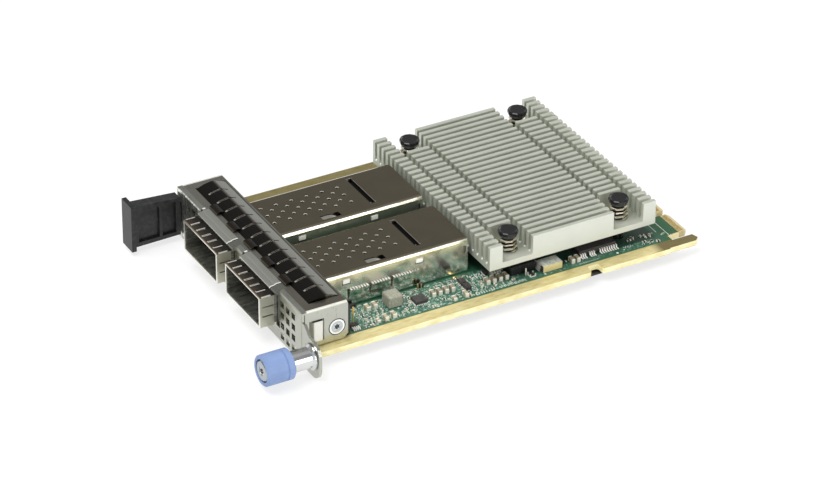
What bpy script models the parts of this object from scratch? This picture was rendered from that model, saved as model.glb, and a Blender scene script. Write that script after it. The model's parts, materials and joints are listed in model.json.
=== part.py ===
"""Two-port mezzanine network card with a captive thumbscrew, modelled in metres.

The card lies flat: +Z up, +Y from the faceplate to the edge contacts, +X towards the thumbscrew.
Sizes are set in the card's own frame: x = 0 at the board's middle, y = 0 at the faceplate's front
and z = 0 at the board's top. An empty then carries everything to the model's origin, which is the
middle of the card's box at its lowest point.
"""
import math

import bmesh
import bpy
from mathutils import Matrix, Vector

MM = 0.001
GAP = 0.3 * MM               # between pieces that rest on each other
SHEET_GAP = 0.12 * MM        # between nested sheet metal
RUN_GAP = 0.35 * MM          # round the pieces that turn or slide
SOLDER_GAP = 0.06 * MM       # under the soldered parts
MERGE = 0.00001

# Ports: each cage stands on the board and reaches out through the faceplate
cage_width = 18.3 * MM
cage_height = 8.3 * MM
cage_length = 59.9 * MM
cage_bottom = 1.3 * MM
cage_front = -4.9 * MM
cage_wall = 0.35 * MM
cage_skirt_front = 3.0 * MM  # the cage's side walls reach down to the board behind this y
port_middle = 0.75 * MM      # x half-way between the two ports
port_gap = 5.6 * MM
cover_sheet = 0.3 * MM
cover_bend = 0.9 * MM        # outer radius of the cover's long edges
latch_inset = (17.6 * MM, 14.3 * MM)           # of the latches from the cover's front and rear
latch_size = 1.9 * MM
latch_height = 1.3 * MM
latch_drop = 2.1 * MM
louvre_length = 6.1 * MM
louvre_pitch = 6.25 * MM
louvre_count = 3
louvre_first = 22.95 * MM
louvre_z = (2.5 * MM, 5.0 * MM)
louvre_rise = 0.5 * MM
vent_hole = 1.1 * MM
vent_row_count = 5
vent_row_margin = (4.35 * MM, 6.03 * MM)       # first and last row, from the cage's sides
vent_y_first = 14.75 * MM
vent_y_pitch = 4.5 * MM
lance_length = 5.6 * MM
lance_width = 1.9 * MM
lance_tongue = 3.7 * MM
lance_drop = 0.7 * MM
lance_gap = 10.2 * MM        # from the lance's rear to the rear slot's middle
lance_inset = 2.2 * MM
rear_slot_inset = 12.9 * MM
rear_slot_width = 1.6 * MM
rear_slot_margin = (1.55 * MM, 2.75 * MM)
collar_sheet = 0.22 * MM
collar_slit = 0.35 * MM
collar_slit_margin = (0.5 * MM, 0.15 * MM)     # from the cage's front and the collar's rear
collar_lip = 0.12 * MM       # how far the collar's front laps the cage's edge
collar_fingers_wide = 6
collar_fingers_high = 3
socket_length = 16.35 * MM
socket_side_room = 1.0 * MM
socket_roof_room = 1.0 * MM
cage_rear = cage_front + cage_length
cage_top = cage_bottom + cage_height
roof_top = cage_top + SHEET_GAP + cover_sheet
port_centres = (port_middle - (cage_width + port_gap) / 2, port_middle + (cage_width + port_gap) / 2)
cage_side = port_centres[1] + cage_width / 2 + SHEET_GAP + cover_sheet   # x of the right cover's outer side

# Chip and heatsink
chip_size = 24.0 * MM
chip_height = 0.9 * MM
lid_size = 21.0 * MM
lid_height = 1.2 * MM
pad_thickness = 0.5 * MM
pedestal_size = 27.0 * MM
pedestal_height = 0.45 * MM
board_width = 76.0 * MM
board_thickness = 1.6 * MM
sink_side_inset = 6.75 * MM  # from the board's sides
sink_length = 50.0 * MM
sink_gap = 1.45 * MM         # behind the cages
sink_x = -0.15 * MM
sink_height = 6.9 * MM
sink_base = 1.75 * MM
fin_count = 27
fin_thickness = 1.15 * MM
cross_cut_width = 1.3 * MM
shank_radius = 1.3 * MM
spring_wire = 0.33 * MM
spring_flare = 0.45 * MM
spring_room = 4.15 * MM      # from the heatsink's floor to a pin's cap
spring_turns = 3.5
cap_height = 1.8 * MM
cap_taper = 0.4 * MM
barb_step = 0.45 * MM
barb_length = 1.6 * MM
barb_slot = 0.6 * MM
pin_inset_x = 5.15 * MM      # from the heatsink's sides
pin_inset_y = 8.3 * MM       # from the heatsink's ends
pocket_room = 1.6 * MM       # round a pin's cap
pocket_step = 0.1 * MM       # the pockets are milled this far below the gaps between the fins
chip_top = 2 * GAP + chip_height + lid_height
sink_bottom = chip_top + pad_thickness + 2 * GAP + pedestal_height
sink_top = sink_bottom + sink_height
sink_floor = sink_bottom + sink_base
sink_width = board_width - 2 * sink_side_inset
sink_y = cage_rear + sink_gap + sink_length / 2
collar_radius = shank_radius + GAP           # of a pin's thicker upper part, inside its spring
spring_radius_top = collar_radius + spring_wire + SHEET_GAP
spring_radius_bottom = spring_radius_top + spring_flare
cap_radius = spring_radius_top + spring_wire + 0.34 * MM
cap_top = sink_floor + spring_room + cap_height
pin_pitch_x = sink_width - 2 * pin_inset_x
pin_pitch_y = sink_length - 2 * pin_inset_y
pin_x = sink_x + pin_pitch_x / 2             # of the right-hand pins
pin_y = (sink_y - pin_pitch_y / 2, sink_y + pin_pitch_y / 2)

# Circuit board, which runs on behind the heatsink to its tongue
board_front = 1.3 * MM       # y of the board's front edge, just behind the faceplate
board_tail = 3.35 * MM       # from the heatsink to the floor of the slots beside the tongue
slot_depth = 6.7 * MM
tongue_setback = 0.5 * MM    # of the tongue's end from the arms' tips
arm_width = 3.1 * MM
arm_chamfer = 1.2 * MM
arm_length = 9.5 * MM
arm_step = 0.35 * MM
left_slot = 6.85 * MM
right_slot = 2.35 * MM
tongue_chamfer = 0.8 * MM
tongue_bevel = 0.35 * MM
tongue_bevel_run = 1.0 * MM
row_pads = (14, 28, 14, 28)  # contact pads a side of the tongue's segments, from the right
row_margin = 0.55 * MM
key_width = 1.7 * MM
key_depth = 5.5 * MM
notch_offset = 3.45 * MM     # of the locating notch in the right edge, behind the heatsink's middle
notch_width = 3.4 * MM
notch_depth = 2.8 * MM
notch_chamfer = 0.5 * MM
board_half = board_width / 2
slot_floor = sink_y + sink_length / 2 + board_tail
arm_tip = slot_floor + slot_depth
arm_inner = board_half - arm_step - arm_width
tongue_right = arm_inner - right_slot
tongue_end = arm_tip - tongue_setback
tongue_width = 2 * arm_inner - left_slot - right_slot
pad_pitch = (tongue_width - 3 * key_width - 8 * row_margin) / sum(row_pads)
notch_y = sink_y + notch_offset

# Faceplate, one folded sheet
face_inset = 2.9 * MM        # of the side walls from the board's sides
sheet = 0.8 * MM
bend_inside = 0.3 * MM
flange_play = 0.18 * MM
flange_depth = 12.9 * MM
window_front = 3.7 * MM
window_rear_rim = 0.6 * MM
window_side_rim = 3.3 * MM
face_skirt = 2.0 * MM        # how far the front wall hangs below the board
side_inset = 0.2 * MM
side_bottom = 0.3 * MM
side_top_step = 0.12 * MM
side_corner = 1.2 * MM
side_rim = 0.83 * MM         # behind the side screw
side_head_radius = 2.3 * MM
side_shank_radius = 1.25 * MM
side_screw_y = 9.97 * MM
side_screw_z = 4.2 * MM
side_window_front = 2.1 * MM
side_window_rim = 1.37 * MM
side_window_low = 1.6 * MM
side_window_top_rim = 3.1 * MM
seam_width = 0.2 * MM
seam_height = 2.9 * MM
vent_size = 1.85 * MM
vent_pitch_x = 3.0 * MM
vent_pitch_z = 3.15 * MM
vent_margin_left = 3.81 * MM                   # from a port's cut-out to the first column
vent_margin_right = 1.31 * MM
vent_wall_margin = 2.85 * MM
vent_drop = 3.3 * MM
vent_rim = 0.8 * MM
port_notch = 1.0 * MM
hood_margin = 1.7 * MM
hood_rear = 2.4 * MM
hood_front = -0.95 * MM
hood_drop = 0.4 * MM
hood_round = 0.35 * MM
ear_corner = 3.5 * MM
bend_radius = sheet + bend_inside
face_width = board_width - 2 * face_inset
face_half = face_width / 2
wall_inside = face_half - sheet
face_top = roof_top + flange_play + sheet
face_bottom = -board_thickness - face_skirt
window_rear = flange_depth - window_rear_rim
window_half = face_half - window_side_rim
side_depth = side_screw_y + side_head_radius + side_rim
side_window_y = (side_window_front, side_screw_y - side_head_radius - side_window_rim)
side_window_z = (side_window_low, face_top - side_window_top_rim)
cover_front = bend_radius + 0.8 * MM
port_half = cage_width / 2 + SHEET_GAP + collar_sheet

# Spring fingers over the flange window
finger_count = 13
finger_slit = 0.4 * MM
finger_sheet = 0.2 * MM
finger_rise = 1.2 * MM
finger_hook_length = 4.3 * MM
finger_hook_reach = 1.1 * MM
leaf_rise = 0.5 * MM
finger_pitch = 2 * (window_half - 0.4 * MM) / finger_count
finger_crest_y = (window_front + window_rear) / 2 + 0.4 * MM
finger_crest_z = face_top + finger_rise

# Thumbscrew
screw_z = 1.3 * MM
thread_radius = 1.4 * MM
screw_travel = 3.5 * MM
knob_length = 7.9 * MM
knob_clear = 2.65 * MM       # left between the knob and the ear when the screw is driven home
knob_wall = 0.95 * MM
knob_hub = 0.8 * MM          # web between the screw's head and the spring
head_rim = 1.4 * MM
head_height = 1.0 * MM
head_sink = 0.25 * MM
sleeve_wall = 0.65 * MM
sleeve_lip_length = 0.8 * MM
sleeve_flare = 0.7 * MM
ring_width = 0.5 * MM
ring_thickness = 0.4 * MM
thumb_spring_wire = 0.2 * MM
thumb_spring_turns = 3.0
sleeve_lip = thread_radius + GAP               # bore of the lip that holds the ring
sleeve_bore = sleeve_lip + ring_width
sleeve_radius = sleeve_bore + sleeve_wall
knob_bore = sleeve_radius + RUN_GAP
knob_radius = knob_bore + knob_wall
head_radius = thread_radius + head_rim
knob_back = screw_travel + knob_clear          # from the ear's front, with the screw drawn out
knob_front = knob_back + knob_length
head_seat = knob_front - head_height - head_sink
knob_hollow = head_seat - knob_hub
spring_solid = 2 * thumb_spring_wire * (thumb_spring_turns + 1)
sleeve_reach = knob_hollow - screw_travel - spring_solid
ring_at = sleeve_reach - sleeve_lip_length - SHEET_GAP - ring_thickness
screw_x = face_half + knob_radius + 0.85 * MM
ear_right = screw_x + knob_radius + 0.05 * MM
ear_top = screw_z + knob_radius + 0.25 * MM
ear_bottom = screw_z - knob_radius - 1.45 * MM

# Pull tab
tab_inset = 0.7 * MM         # of the blade's middle from the faceplate's side
tab_reach = 15.1 * MM
tab_web = 1.4 * MM
tab_relief = 0.9 * MM
tab_border = 1.3 * MM
tab_rib = 0.8 * MM
tab_slope = (0.6 * MM, 1.6 * MM)    # the blade's top edge, below the end plate's top, front and rear
tab_plate_width = 5.7 * MM
tab_plate_thickness = 1.3 * MM
tab_drop = 0.6 * MM          # below the flange
tab_lift = 0.9 * MM          # above the front wall's lower edge
tab_tongue_thickness = 1.1 * MM
tab_tongue_height = 5.0 * MM
tab_x = tab_inset - face_half
tab_thickness = tab_web + 2 * tab_relief
tab_top = face_top - tab_drop
tab_bottom = face_bottom + tab_lift
tongue_x = GAP + tab_tongue_thickness / 2 - wall_inside

# Mounting blocks behind the side walls
block_width = 4.4 * MM
block_front_margin = 2.77 * MM                 # in front of the side screw's middle
block_rear_margin = 4.33 * MM
block_drop = 1.5 * MM        # below the flange's underside

# Insulating film under the board
film_gap = 0.45 * MM
film_thickness = 0.3 * MM
film_inset = 1.4 * MM
film_front_inset = 1.7 * MM
film_rear_inset = 4.8 * MM
film_corner = 2.0 * MM
rivet_radius = 1.6 * MM
rivet_shank = 0.8 * MM
rivet_head = 0.6 * MM
rivet_inset = (6.6 * MM, 3.6 * MM, 5.0 * MM)   # left, right and rear, from the film's edges
film_half = board_half - film_inset
film_front = board_front + film_front_inset
film_rear = slot_floor - film_rear_inset
rivet_places = ((rivet_inset[0] - film_half, sink_y - 3.0 * MM),
                (film_half - rivet_inset[1], sink_y + 2.5 * MM),
                (0.0, film_rear - rivet_inset[2]))

# Small parts on the board's right-hand strip
inductor_size = 4.0 * MM
inductor_height = 3.3 * MM
inductor_share = 0.289                         # across the strip from the right cage to the board's edge
inductor_y = 30.35 * MM
capacitor_size = (2.1 * MM, 0.95 * MM, 1.2 * MM)
capacitor_count = 4
front_capacitor_share = 0.38
front_capacitor_y = 41.35 * MM
front_capacitor_pitch = 1.88 * MM
middle_capacitor_offset = (3.75 * MM, -8.2 * MM)     # from the front right pin
middle_capacitor_pitch = 1.83 * MM
rear_capacitor_offset = ((5.35 * MM, 16.25 * MM), (5.35 * MM, 17.9 * MM))
# name, share across the strip beside the right cage, shift from there along x, y of its middle, size
side_parts = (("controller_chip", 0.42, 0.0, 37.05, 3.3, 3.5, 1.0),
              ("regulator_front", 0.28, 0.0, 50.9, 2.3, 1.7, 1.0),
              ("regulator_rear", 0.28, 2.55, 50.9, 2.3, 1.7, 1.0))
# name, offset of its middle from the front right pin along x and y, size
pin_parts = (("board_connector", 2.85, 2.45, 2.4, 7.4, 2.6),
             ("oscillator", 4.95, 9.75, 3.6, 5.8, 2.1),
             ("memory_chip", 2.95, 24.75, 2.6, 11.2, 1.5))


def clear_scene():
    for obj in list(bpy.data.objects):
        bpy.data.objects.remove(obj, do_unlink=True)


def new_collection(name):
    group = bpy.data.collections.new(name)
    bpy.context.scene.collection.children.link(group)
    return group


def make_material(name, color, roughness, metallic):
    mat = bpy.data.materials.new(name)
    mat.use_nodes = True
    shader = mat.node_tree.nodes["Principled BSDF"]
    shader.inputs["Base Color"].default_value = (*color, 1.0)
    shader.inputs["Roughness"].default_value = roughness
    shader.inputs["Metallic"].default_value = metallic
    return mat


clear_scene()
CARD = new_collection("mezzanine_network_card")
CUTTERS = new_collection("cutters")

LAMINATE = make_material("laminate", (0.06, 0.22, 0.10), 0.45, 0.0)
STEEL = make_material("steel", (0.62, 0.62, 0.58), 0.30, 1.0)
CAGE_STEEL = make_material("cage_steel", (0.45, 0.42, 0.38), 0.22, 1.0)
SPRING_STEEL = make_material("spring_steel", (0.40, 0.37, 0.33), 0.25, 1.0)
ALUMINIUM = make_material("aluminium", (0.70, 0.71, 0.67), 0.45, 1.0)
BLACK_PLASTIC = make_material("black_plastic", (0.02, 0.02, 0.022), 0.5, 0.0)
BLUE_PLASTIC = make_material("blue_plastic", (0.25, 0.36, 0.68), 0.4, 0.0)
FILM = make_material("film", (0.015, 0.015, 0.016), 0.4, 0.0)
CHIP = make_material("chip", (0.05, 0.05, 0.055), 0.5, 0.0)
FERRITE = make_material("ferrite", (0.30, 0.30, 0.29), 0.6, 0.0)
CERAMIC = make_material("ceramic", (0.36, 0.25, 0.17), 0.5, 0.0)
PAD_GREY = make_material("pad_grey", (0.45, 0.47, 0.50), 0.8, 0.0)


def add_object(name, mesh, material, parent, group=None):
    """Links a mesh or curve as one named object that the given empty carries."""
    obj = bpy.data.objects.new(name, mesh)
    (group or CARD).objects.link(obj)
    obj.parent = parent
    if material:
        mesh.materials.append(material)
    return obj


def add_cutter(name, mesh, parent):
    obj = add_object(name, mesh, None, parent, CUTTERS)
    obj.hide_render = True
    obj.display_type = "WIRE"
    return obj


def mesh_from(bm, name):
    mesh = bpy.data.meshes.new(name)
    bm.to_mesh(mesh)
    bm.free()
    return mesh


def add_box_to(bm, low, high):
    low = Vector(low)
    high = Vector(high)
    place = Matrix.Translation((low + high) / 2) @ Matrix.Diagonal((*(high - low), 1.0))
    bmesh.ops.create_cube(bm, size=1.0, matrix=place)


def boxes_mesh(name, boxes):
    """One mesh of separate boxes, each given by its lowest and highest corners."""
    bm = bmesh.new()
    for low, high in boxes:
        add_box_to(bm, low, high)
    return mesh_from(bm, name)


def add_boxes(name, boxes, material, parent):
    return add_object(name, boxes_mesh(name, boxes), material, parent)


def round_corner(points, index, radius, steps):
    """The arc that replaces one corner of a closed outline."""
    here = Vector(points[index])
    before = (Vector(points[index - 1]) - here).normalized()
    after = (Vector(points[(index + 1) % len(points)]) - here).normalized()
    half = before.angle(after) / 2
    centre = here + (before + after).normalized() * (radius / math.sin(half))
    start = here + before * (radius / math.tan(half))
    end = here + after * (radius / math.tan(half))
    turn = (start - centre).angle_signed(end - centre)
    arc = []
    for k in range(steps + 1):
        spin = Matrix.Rotation(-turn * k / steps, 2)
        arc.append(tuple(centre + spin @ (start - centre)))
    return arc


def rounded(points, radii, steps=4):
    """A closed outline whose corner k is an arc of radii[k], where that is given."""
    outline = []
    for k, point in enumerate(points):
        radius = radii.get(k, 0.0)
        outline += round_corner(points, k, radius, steps) if radius else [point]
    return outline


def circle(x, y, radius, sides):
    return [(x + radius * math.cos(math.tau * k / sides), y + radius * math.sin(math.tau * k / sides))
            for k in range(sides)]


def square(x, y, width, height):
    return [(x - width / 2, y - height / 2), (x + width / 2, y - height / 2),
            (x + width / 2, y + height / 2), (x - width / 2, y + height / 2)]


PLANES = {"XY": (0.0, 0.0, 0.0), "XZ": (math.pi / 2, 0.0, 0.0), "YZ": (math.pi / 2, 0.0, math.pi / 2)}


def plate(name, outlines, thickness, plane, middle, material, parent, group=None):
    """A flat outline, with its holes, extruded to both sides of its plane, as a mesh object."""
    curve = bpy.data.curves.new(name + "_outline", "CURVE")
    curve.dimensions = "2D"
    curve.fill_mode = "BOTH"
    curve.extrude = thickness / 2
    for outline in outlines:
        spline = curve.splines.new("POLY")
        spline.points.add(len(outline) - 1)
        for point, (a, b) in zip(spline.points, outline):
            point.co = (a, b, 0.0, 1.0)
        spline.use_cyclic_u = True
    drawn = bpy.data.objects.new(name + "_outline", curve)
    (group or CARD).objects.link(drawn)
    bpy.context.view_layer.update()
    graph = bpy.context.evaluated_depsgraph_get()
    mesh = bpy.data.meshes.new_from_object(drawn.evaluated_get(graph))
    bm = bmesh.new()
    bm.from_mesh(mesh)
    bmesh.ops.remove_doubles(bm, verts=bm.verts, dist=MERGE)
    bmesh.ops.recalc_face_normals(bm, faces=bm.faces)
    bm.to_mesh(mesh)
    bm.free()
    mesh.materials.clear()
    bpy.data.objects.remove(drawn, do_unlink=True)
    bpy.data.curves.remove(curve)
    obj = add_object(name, mesh, material, parent, group)
    obj.location = middle
    obj.rotation_euler = PLANES[plane]
    if group is CUTTERS:
        obj.hide_render = True
        obj.display_type = "WIRE"
    return obj


def boolean(target, tool, operation):
    mod = target.modifiers.new(tool.name, "BOOLEAN")
    mod.operation = operation
    mod.solver = "EXACT"
    mod.object = tool
    return mod


def cut(target, tool):
    boolean(target, tool, "DIFFERENCE")


def join(target, tool):
    boolean(target, tool, "UNION")


def turned(name, profile, sides, material, parent):
    """A turned piece about its local Z. The profile runs down its outer side; a ring's is closed."""
    bm = bmesh.new()
    verts = [bm.verts.new((radius, 0.0, height)) for radius, height in profile]
    for a, b in zip(verts, verts[1:]):
        bm.edges.new((a, b))
    if profile[0][0] > 0.0:
        bm.edges.new((verts[-1], verts[0]))
    obj = add_object(name, mesh_from(bm, name), material, parent)
    mod = obj.modifiers.new("turn", "SCREW")
    mod.axis = "Z"
    mod.angle = math.tau
    mod.steps = sides
    mod.render_steps = sides
    mod.use_merge_vertices = True
    mod.merge_threshold = MERGE
    mod.use_smooth_shade = True
    return obj


def coil(name, radii, wire, turns, bottom, top, material, parent):
    """A compression spring about its local Z with closed ends, its wire's middle from bottom to top."""
    curve = bpy.data.curves.new(name, "CURVE")
    curve.dimensions = "3D"
    curve.bevel_depth = wire
    curve.bevel_resolution = 1
    curve.use_fill_caps = True
    spline = curve.splines.new("POLY")
    points_a_turn = 8
    count = round(turns * points_a_turn)
    spline.points.add(count)
    closed = 0.75
    rise = 2.2 * wire * closed
    for k, point in enumerate(spline.points):
        turn = turns * k / count
        share = min(1.0, max(0.0, (turn - closed) / (turns - 2 * closed)))
        height = bottom + rise * min(turn, closed) / closed + (top - bottom - 2 * rise) * share
        height += rise * max(0.0, turn - turns + closed) / closed
        radius = radii[0] + (radii[1] - radii[0]) * k / count
        point.co = (radius * math.cos(math.tau * turn), radius * math.sin(math.tau * turn), height, 1.0)
    return add_object(name, curve, material, parent)


def bevel(obj, width, segments=1):
    mod = obj.modifiers.new("edges", "BEVEL")
    mod.width = width
    mod.segments = segments
    mod.limit_method = "ANGLE"
    mod.angle_limit = math.radians(40)
    return mod


def add_empty(name, location, rotation, parent):
    empty = bpy.data.objects.new(name, None)
    CARD.objects.link(empty)
    empty.location = location
    empty.rotation_euler = rotation
    empty.parent = parent
    return empty


def add_prism(group_name, outline, thickness, plane, middle, card):
    """A cutter or form: an outline extruded to both sides of its plane."""
    return plate(group_name, [outline], thickness, plane, middle, None, card, CUTTERS)


def cones_mesh(name, places, radius, depth, sides, turn=None):
    bm = bmesh.new()
    for place in places:
        matrix = Matrix.Translation(place) @ (turn or Matrix.Identity(4))
        bmesh.ops.create_cone(bm, cap_ends=True, segments=sides, radius1=radius, radius2=radius,
                              depth=depth, matrix=matrix)
    return mesh_from(bm, name)


def pin_places():
    return [(sink_x + side * pin_pitch_x / 2, y, 0.0) for side in (-1, 1) for y in pin_y]


def build_board(card):
    """The laminate with its guide edges, locating notch, keyed tongue and pointed arms."""
    low = notch_y - notch_width / 2
    high = notch_y + notch_width / 2
    floor = board_half - notch_depth
    right = [(board_half, board_front),
             (board_half, low - notch_chamfer),
             (board_half - notch_chamfer, low),
             (floor + notch_chamfer, low),
             (floor, low + notch_chamfer),
             (floor, high - notch_chamfer),
             (floor + notch_chamfer, high),
             (board_half - notch_chamfer, high),
             (board_half, high + notch_chamfer)]
    step_y = arm_tip - arm_length
    arm = [(board_half, step_y),
           (board_half - arm_step, step_y + arm_step),
           (board_half - arm_step, arm_tip - arm_chamfer),
           (board_half - arm_step - arm_chamfer, arm_tip),
           (arm_inner, arm_tip - arm_chamfer / 2),
           (arm_inner, slot_floor)]
    tongue = []
    edge = tongue_right
    key_floor = arm_tip - key_depth
    for k, pads in enumerate(row_pads):
        width = pads * pad_pitch + 2 * row_margin
        tongue += [(edge, slot_floor if k == 0 else key_floor),
                   (edge, tongue_end - tongue_chamfer),
                   (edge - tongue_chamfer, tongue_end),
                   (edge - width + tongue_chamfer, tongue_end),
                   (edge - width, tongue_end - tongue_chamfer)]
        if k < len(row_pads) - 1:
            tongue.append((edge - width, key_floor))
        edge -= width + key_width
    tongue_left = edge + key_width
    tongue.append((tongue_left, slot_floor))
    left_arm = [(-x, y) for x, y in reversed(arm)]
    outline = right + arm + tongue + left_arm + [(-board_half, board_front)]
    board = plate("circuit_board", [outline], board_thickness, "XY",
                  (0.0, 0.0, -board_thickness / 2), LAMINATE, card)
    drills = cones_mesh("board_hole_cutter", pin_places(), shank_radius + GAP, 4 * board_thickness, 10)
    cut(board, add_cutter("board_hole_cutter", drills, card))
    start = tongue_end - tongue_bevel_run
    end = tongue_end + tongue_bevel_run
    top = [(start, MM), (start, 0.0), (end, -2 * tongue_bevel), (end, MM)]
    bottom = [(y, -board_thickness - z) for y, z in top]
    for word, wedge in (("top", top), ("bottom", bottom)):
        cut(board, add_prism(f"tongue_bevel_{word}", wedge, tongue_right - tongue_left + 2 * MM, "YZ",
                             ((tongue_right + tongue_left) / 2, 0.0, 0.0), card))


def port_opening():
    """The faceplate's cut-out for a port, with a relief notch at each lower corner."""
    half = port_half
    top = face_top - sheet - side_top_step / 2
    bottom = cage_bottom - GAP
    notch = port_notch
    return [(-half - notch, bottom - notch), (-half + notch, bottom - notch), (-half + notch, bottom),
            (half - notch, bottom), (half - notch, bottom - notch), (half + notch, bottom - notch),
            (half + notch, bottom + notch), (half, bottom + notch), (half, top), (-half, top),
            (-half, bottom + notch), (-half - notch, bottom + notch)]


def vent_places():
    """The vents fill the room between each port's cut-out and the side wall."""
    places = []
    rows = math.floor((face_top - vent_drop - face_bottom - vent_rim - vent_size / 2) / vent_pitch_z) + 1
    for side, margin in ((-1, vent_margin_left), (1, vent_margin_right)):
        centre = port_centres[0] if side < 0 else port_centres[1]
        first = side * centre + port_half + port_notch + margin
        columns = math.floor((wall_inside - vent_wall_margin - first) / vent_pitch_x) + 1
        for column in range(columns):
            for row in range(rows):
                shift = (column % 2) * vent_pitch_z * 0.05
                places.append((side * (first + column * vent_pitch_x),
                               face_top - vent_drop - row * vent_pitch_z - shift))
    return places


def build_faceplate(card):
    """Front wall, top flange, two side walls, port hoods and the thumbscrew ear, folded as one."""
    profile = [(0.0, face_bottom)]
    for k in range(5):
        a = math.pi / 2 * k / 4
        profile.append((bend_radius - bend_radius * math.cos(a),
                        face_top - bend_radius + bend_radius * math.sin(a)))
    profile += [(flange_depth, face_top), (flange_depth, face_top - sheet)]
    for k in range(3):
        a = math.pi / 2 * (1 - k / 2)
        profile.append((bend_radius - bend_inside * math.cos(a),
                        face_top - bend_radius + bend_inside * math.sin(a)))
    profile.append((sheet, face_bottom))
    face = plate("faceplate", [profile], face_width - 2 * side_inset, "YZ", (0.0, 0.0, 0.0), STEEL, card)

    underside = cage_top + SHEET_GAP
    hood = [(hood_rear, face_top), (hood_front + hood_round, face_top - hood_drop),
            (hood_front + 0.1 * MM, face_top - hood_drop - 0.4 * hood_round),
            (hood_front, face_top - hood_drop - hood_round), (hood_front, underside),
            (sheet / 2, underside), (hood_rear, face_top - sheet / 2)]
    for word, centre in zip(("left", "right"), port_centres):
        join(face, add_prism(f"hood_form_{word}", hood, cage_width + hood_margin, "YZ",
                             (centre, 0.0, 0.0), card))

    front = 0.05 * MM
    wall = [(front, side_bottom), (side_depth - side_corner, side_bottom),
            (side_depth, side_bottom + side_corner), (side_depth, face_top - side_top_step),
            (front, face_top - side_top_step)]
    wall = rounded(wall, {3: side_corner / 2}, 2)
    middle = face_half - sheet / 2
    turn = Matrix.Rotation(math.pi / 2, 4, "Y")
    for side, word in ((-1, "left"), (1, "right")):
        join(face, add_prism(f"side_form_{word}", wall, sheet, "YZ", (side * middle, 0.0, 0.0), card))
    screw_holes = [(side * middle, side_screw_y, side_screw_z) for side in (-1, 1)]

    ear = [(wall_inside, face_bottom + side_inset), (wall_inside + 2.6 * MM, ear_bottom),
           (ear_right, ear_bottom), (ear_right, ear_top), (wall_inside + 4.4 * MM, ear_top + 0.4 * MM),
           (wall_inside + 1.9 * MM, ear_top + 2.6 * MM), (wall_inside, ear_top + 2.9 * MM)]
    ear = rounded(ear, {2: ear_corner, 3: ear_corner, 4: ear_corner / 3}, 6)
    join(face, add_prism("ear_form", ear, sheet, "XZ", (0.0, front + sheet / 2, 0.0), card))

    side_holes = cones_mesh("side_hole_cutter", screw_holes, side_head_radius + SHEET_GAP,
                            2 * sheet, 16, turn)
    cut(face, add_cutter("side_hole_cutter", side_holes, card))
    ear_hole = cones_mesh("ear_hole_cutter", [(screw_x, front + sheet / 2, screw_z)],
                          sleeve_radius + SHEET_GAP, 2 * sheet, 20, Matrix.Rotation(math.pi / 2, 4, "X"))
    cut(face, add_cutter("ear_hole_cutter", ear_hole, card))
    for word, centre in zip(("left", "right"), port_centres):
        depth = 6.0 * MM
        cut(face, add_prism(f"port_cutter_{word}", port_opening(), depth, "XZ",
                            (centre, hood_front + depth / 2 - MM, 0.0), card))
    cuts = []
    for x, z in vent_places():
        cuts.append(((x - vent_size / 2, -MM, z - vent_size / 2),
                     (x + vent_size / 2, 2 * MM, z + vent_size / 2)))
    cuts.append(((-window_half, window_front, face_top - 2 * MM), (window_half, window_rear, face_top + MM)))
    cuts.append(((wall_inside - MM, side_window_y[0], side_window_z[0]),
                 (face_half + MM, side_window_y[1], side_window_z[1])))
    for side in (-1, 1):
        x = sorted((side * (wall_inside - 0.05 * MM), side * (face_half + MM)))
        cuts.append(((x[0], sheet - seam_width / 2, face_top - seam_height),
                     (x[1], sheet + seam_width / 2, face_top - 0.6 * bend_radius)))
    tongue_gap = tab_tongue_thickness / 2 + GAP
    cuts.append(((tongue_x - tongue_gap, -MM, side_screw_z - tab_tongue_height / 2 - GAP),
                 (tongue_x + tongue_gap, sheet + GAP / 2, side_screw_z + tab_tongue_height / 2 + GAP)))
    cut(face, add_cutter("window_and_vent_cutter", boxes_mesh("window_and_vent_cutter", cuts), card))


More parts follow.
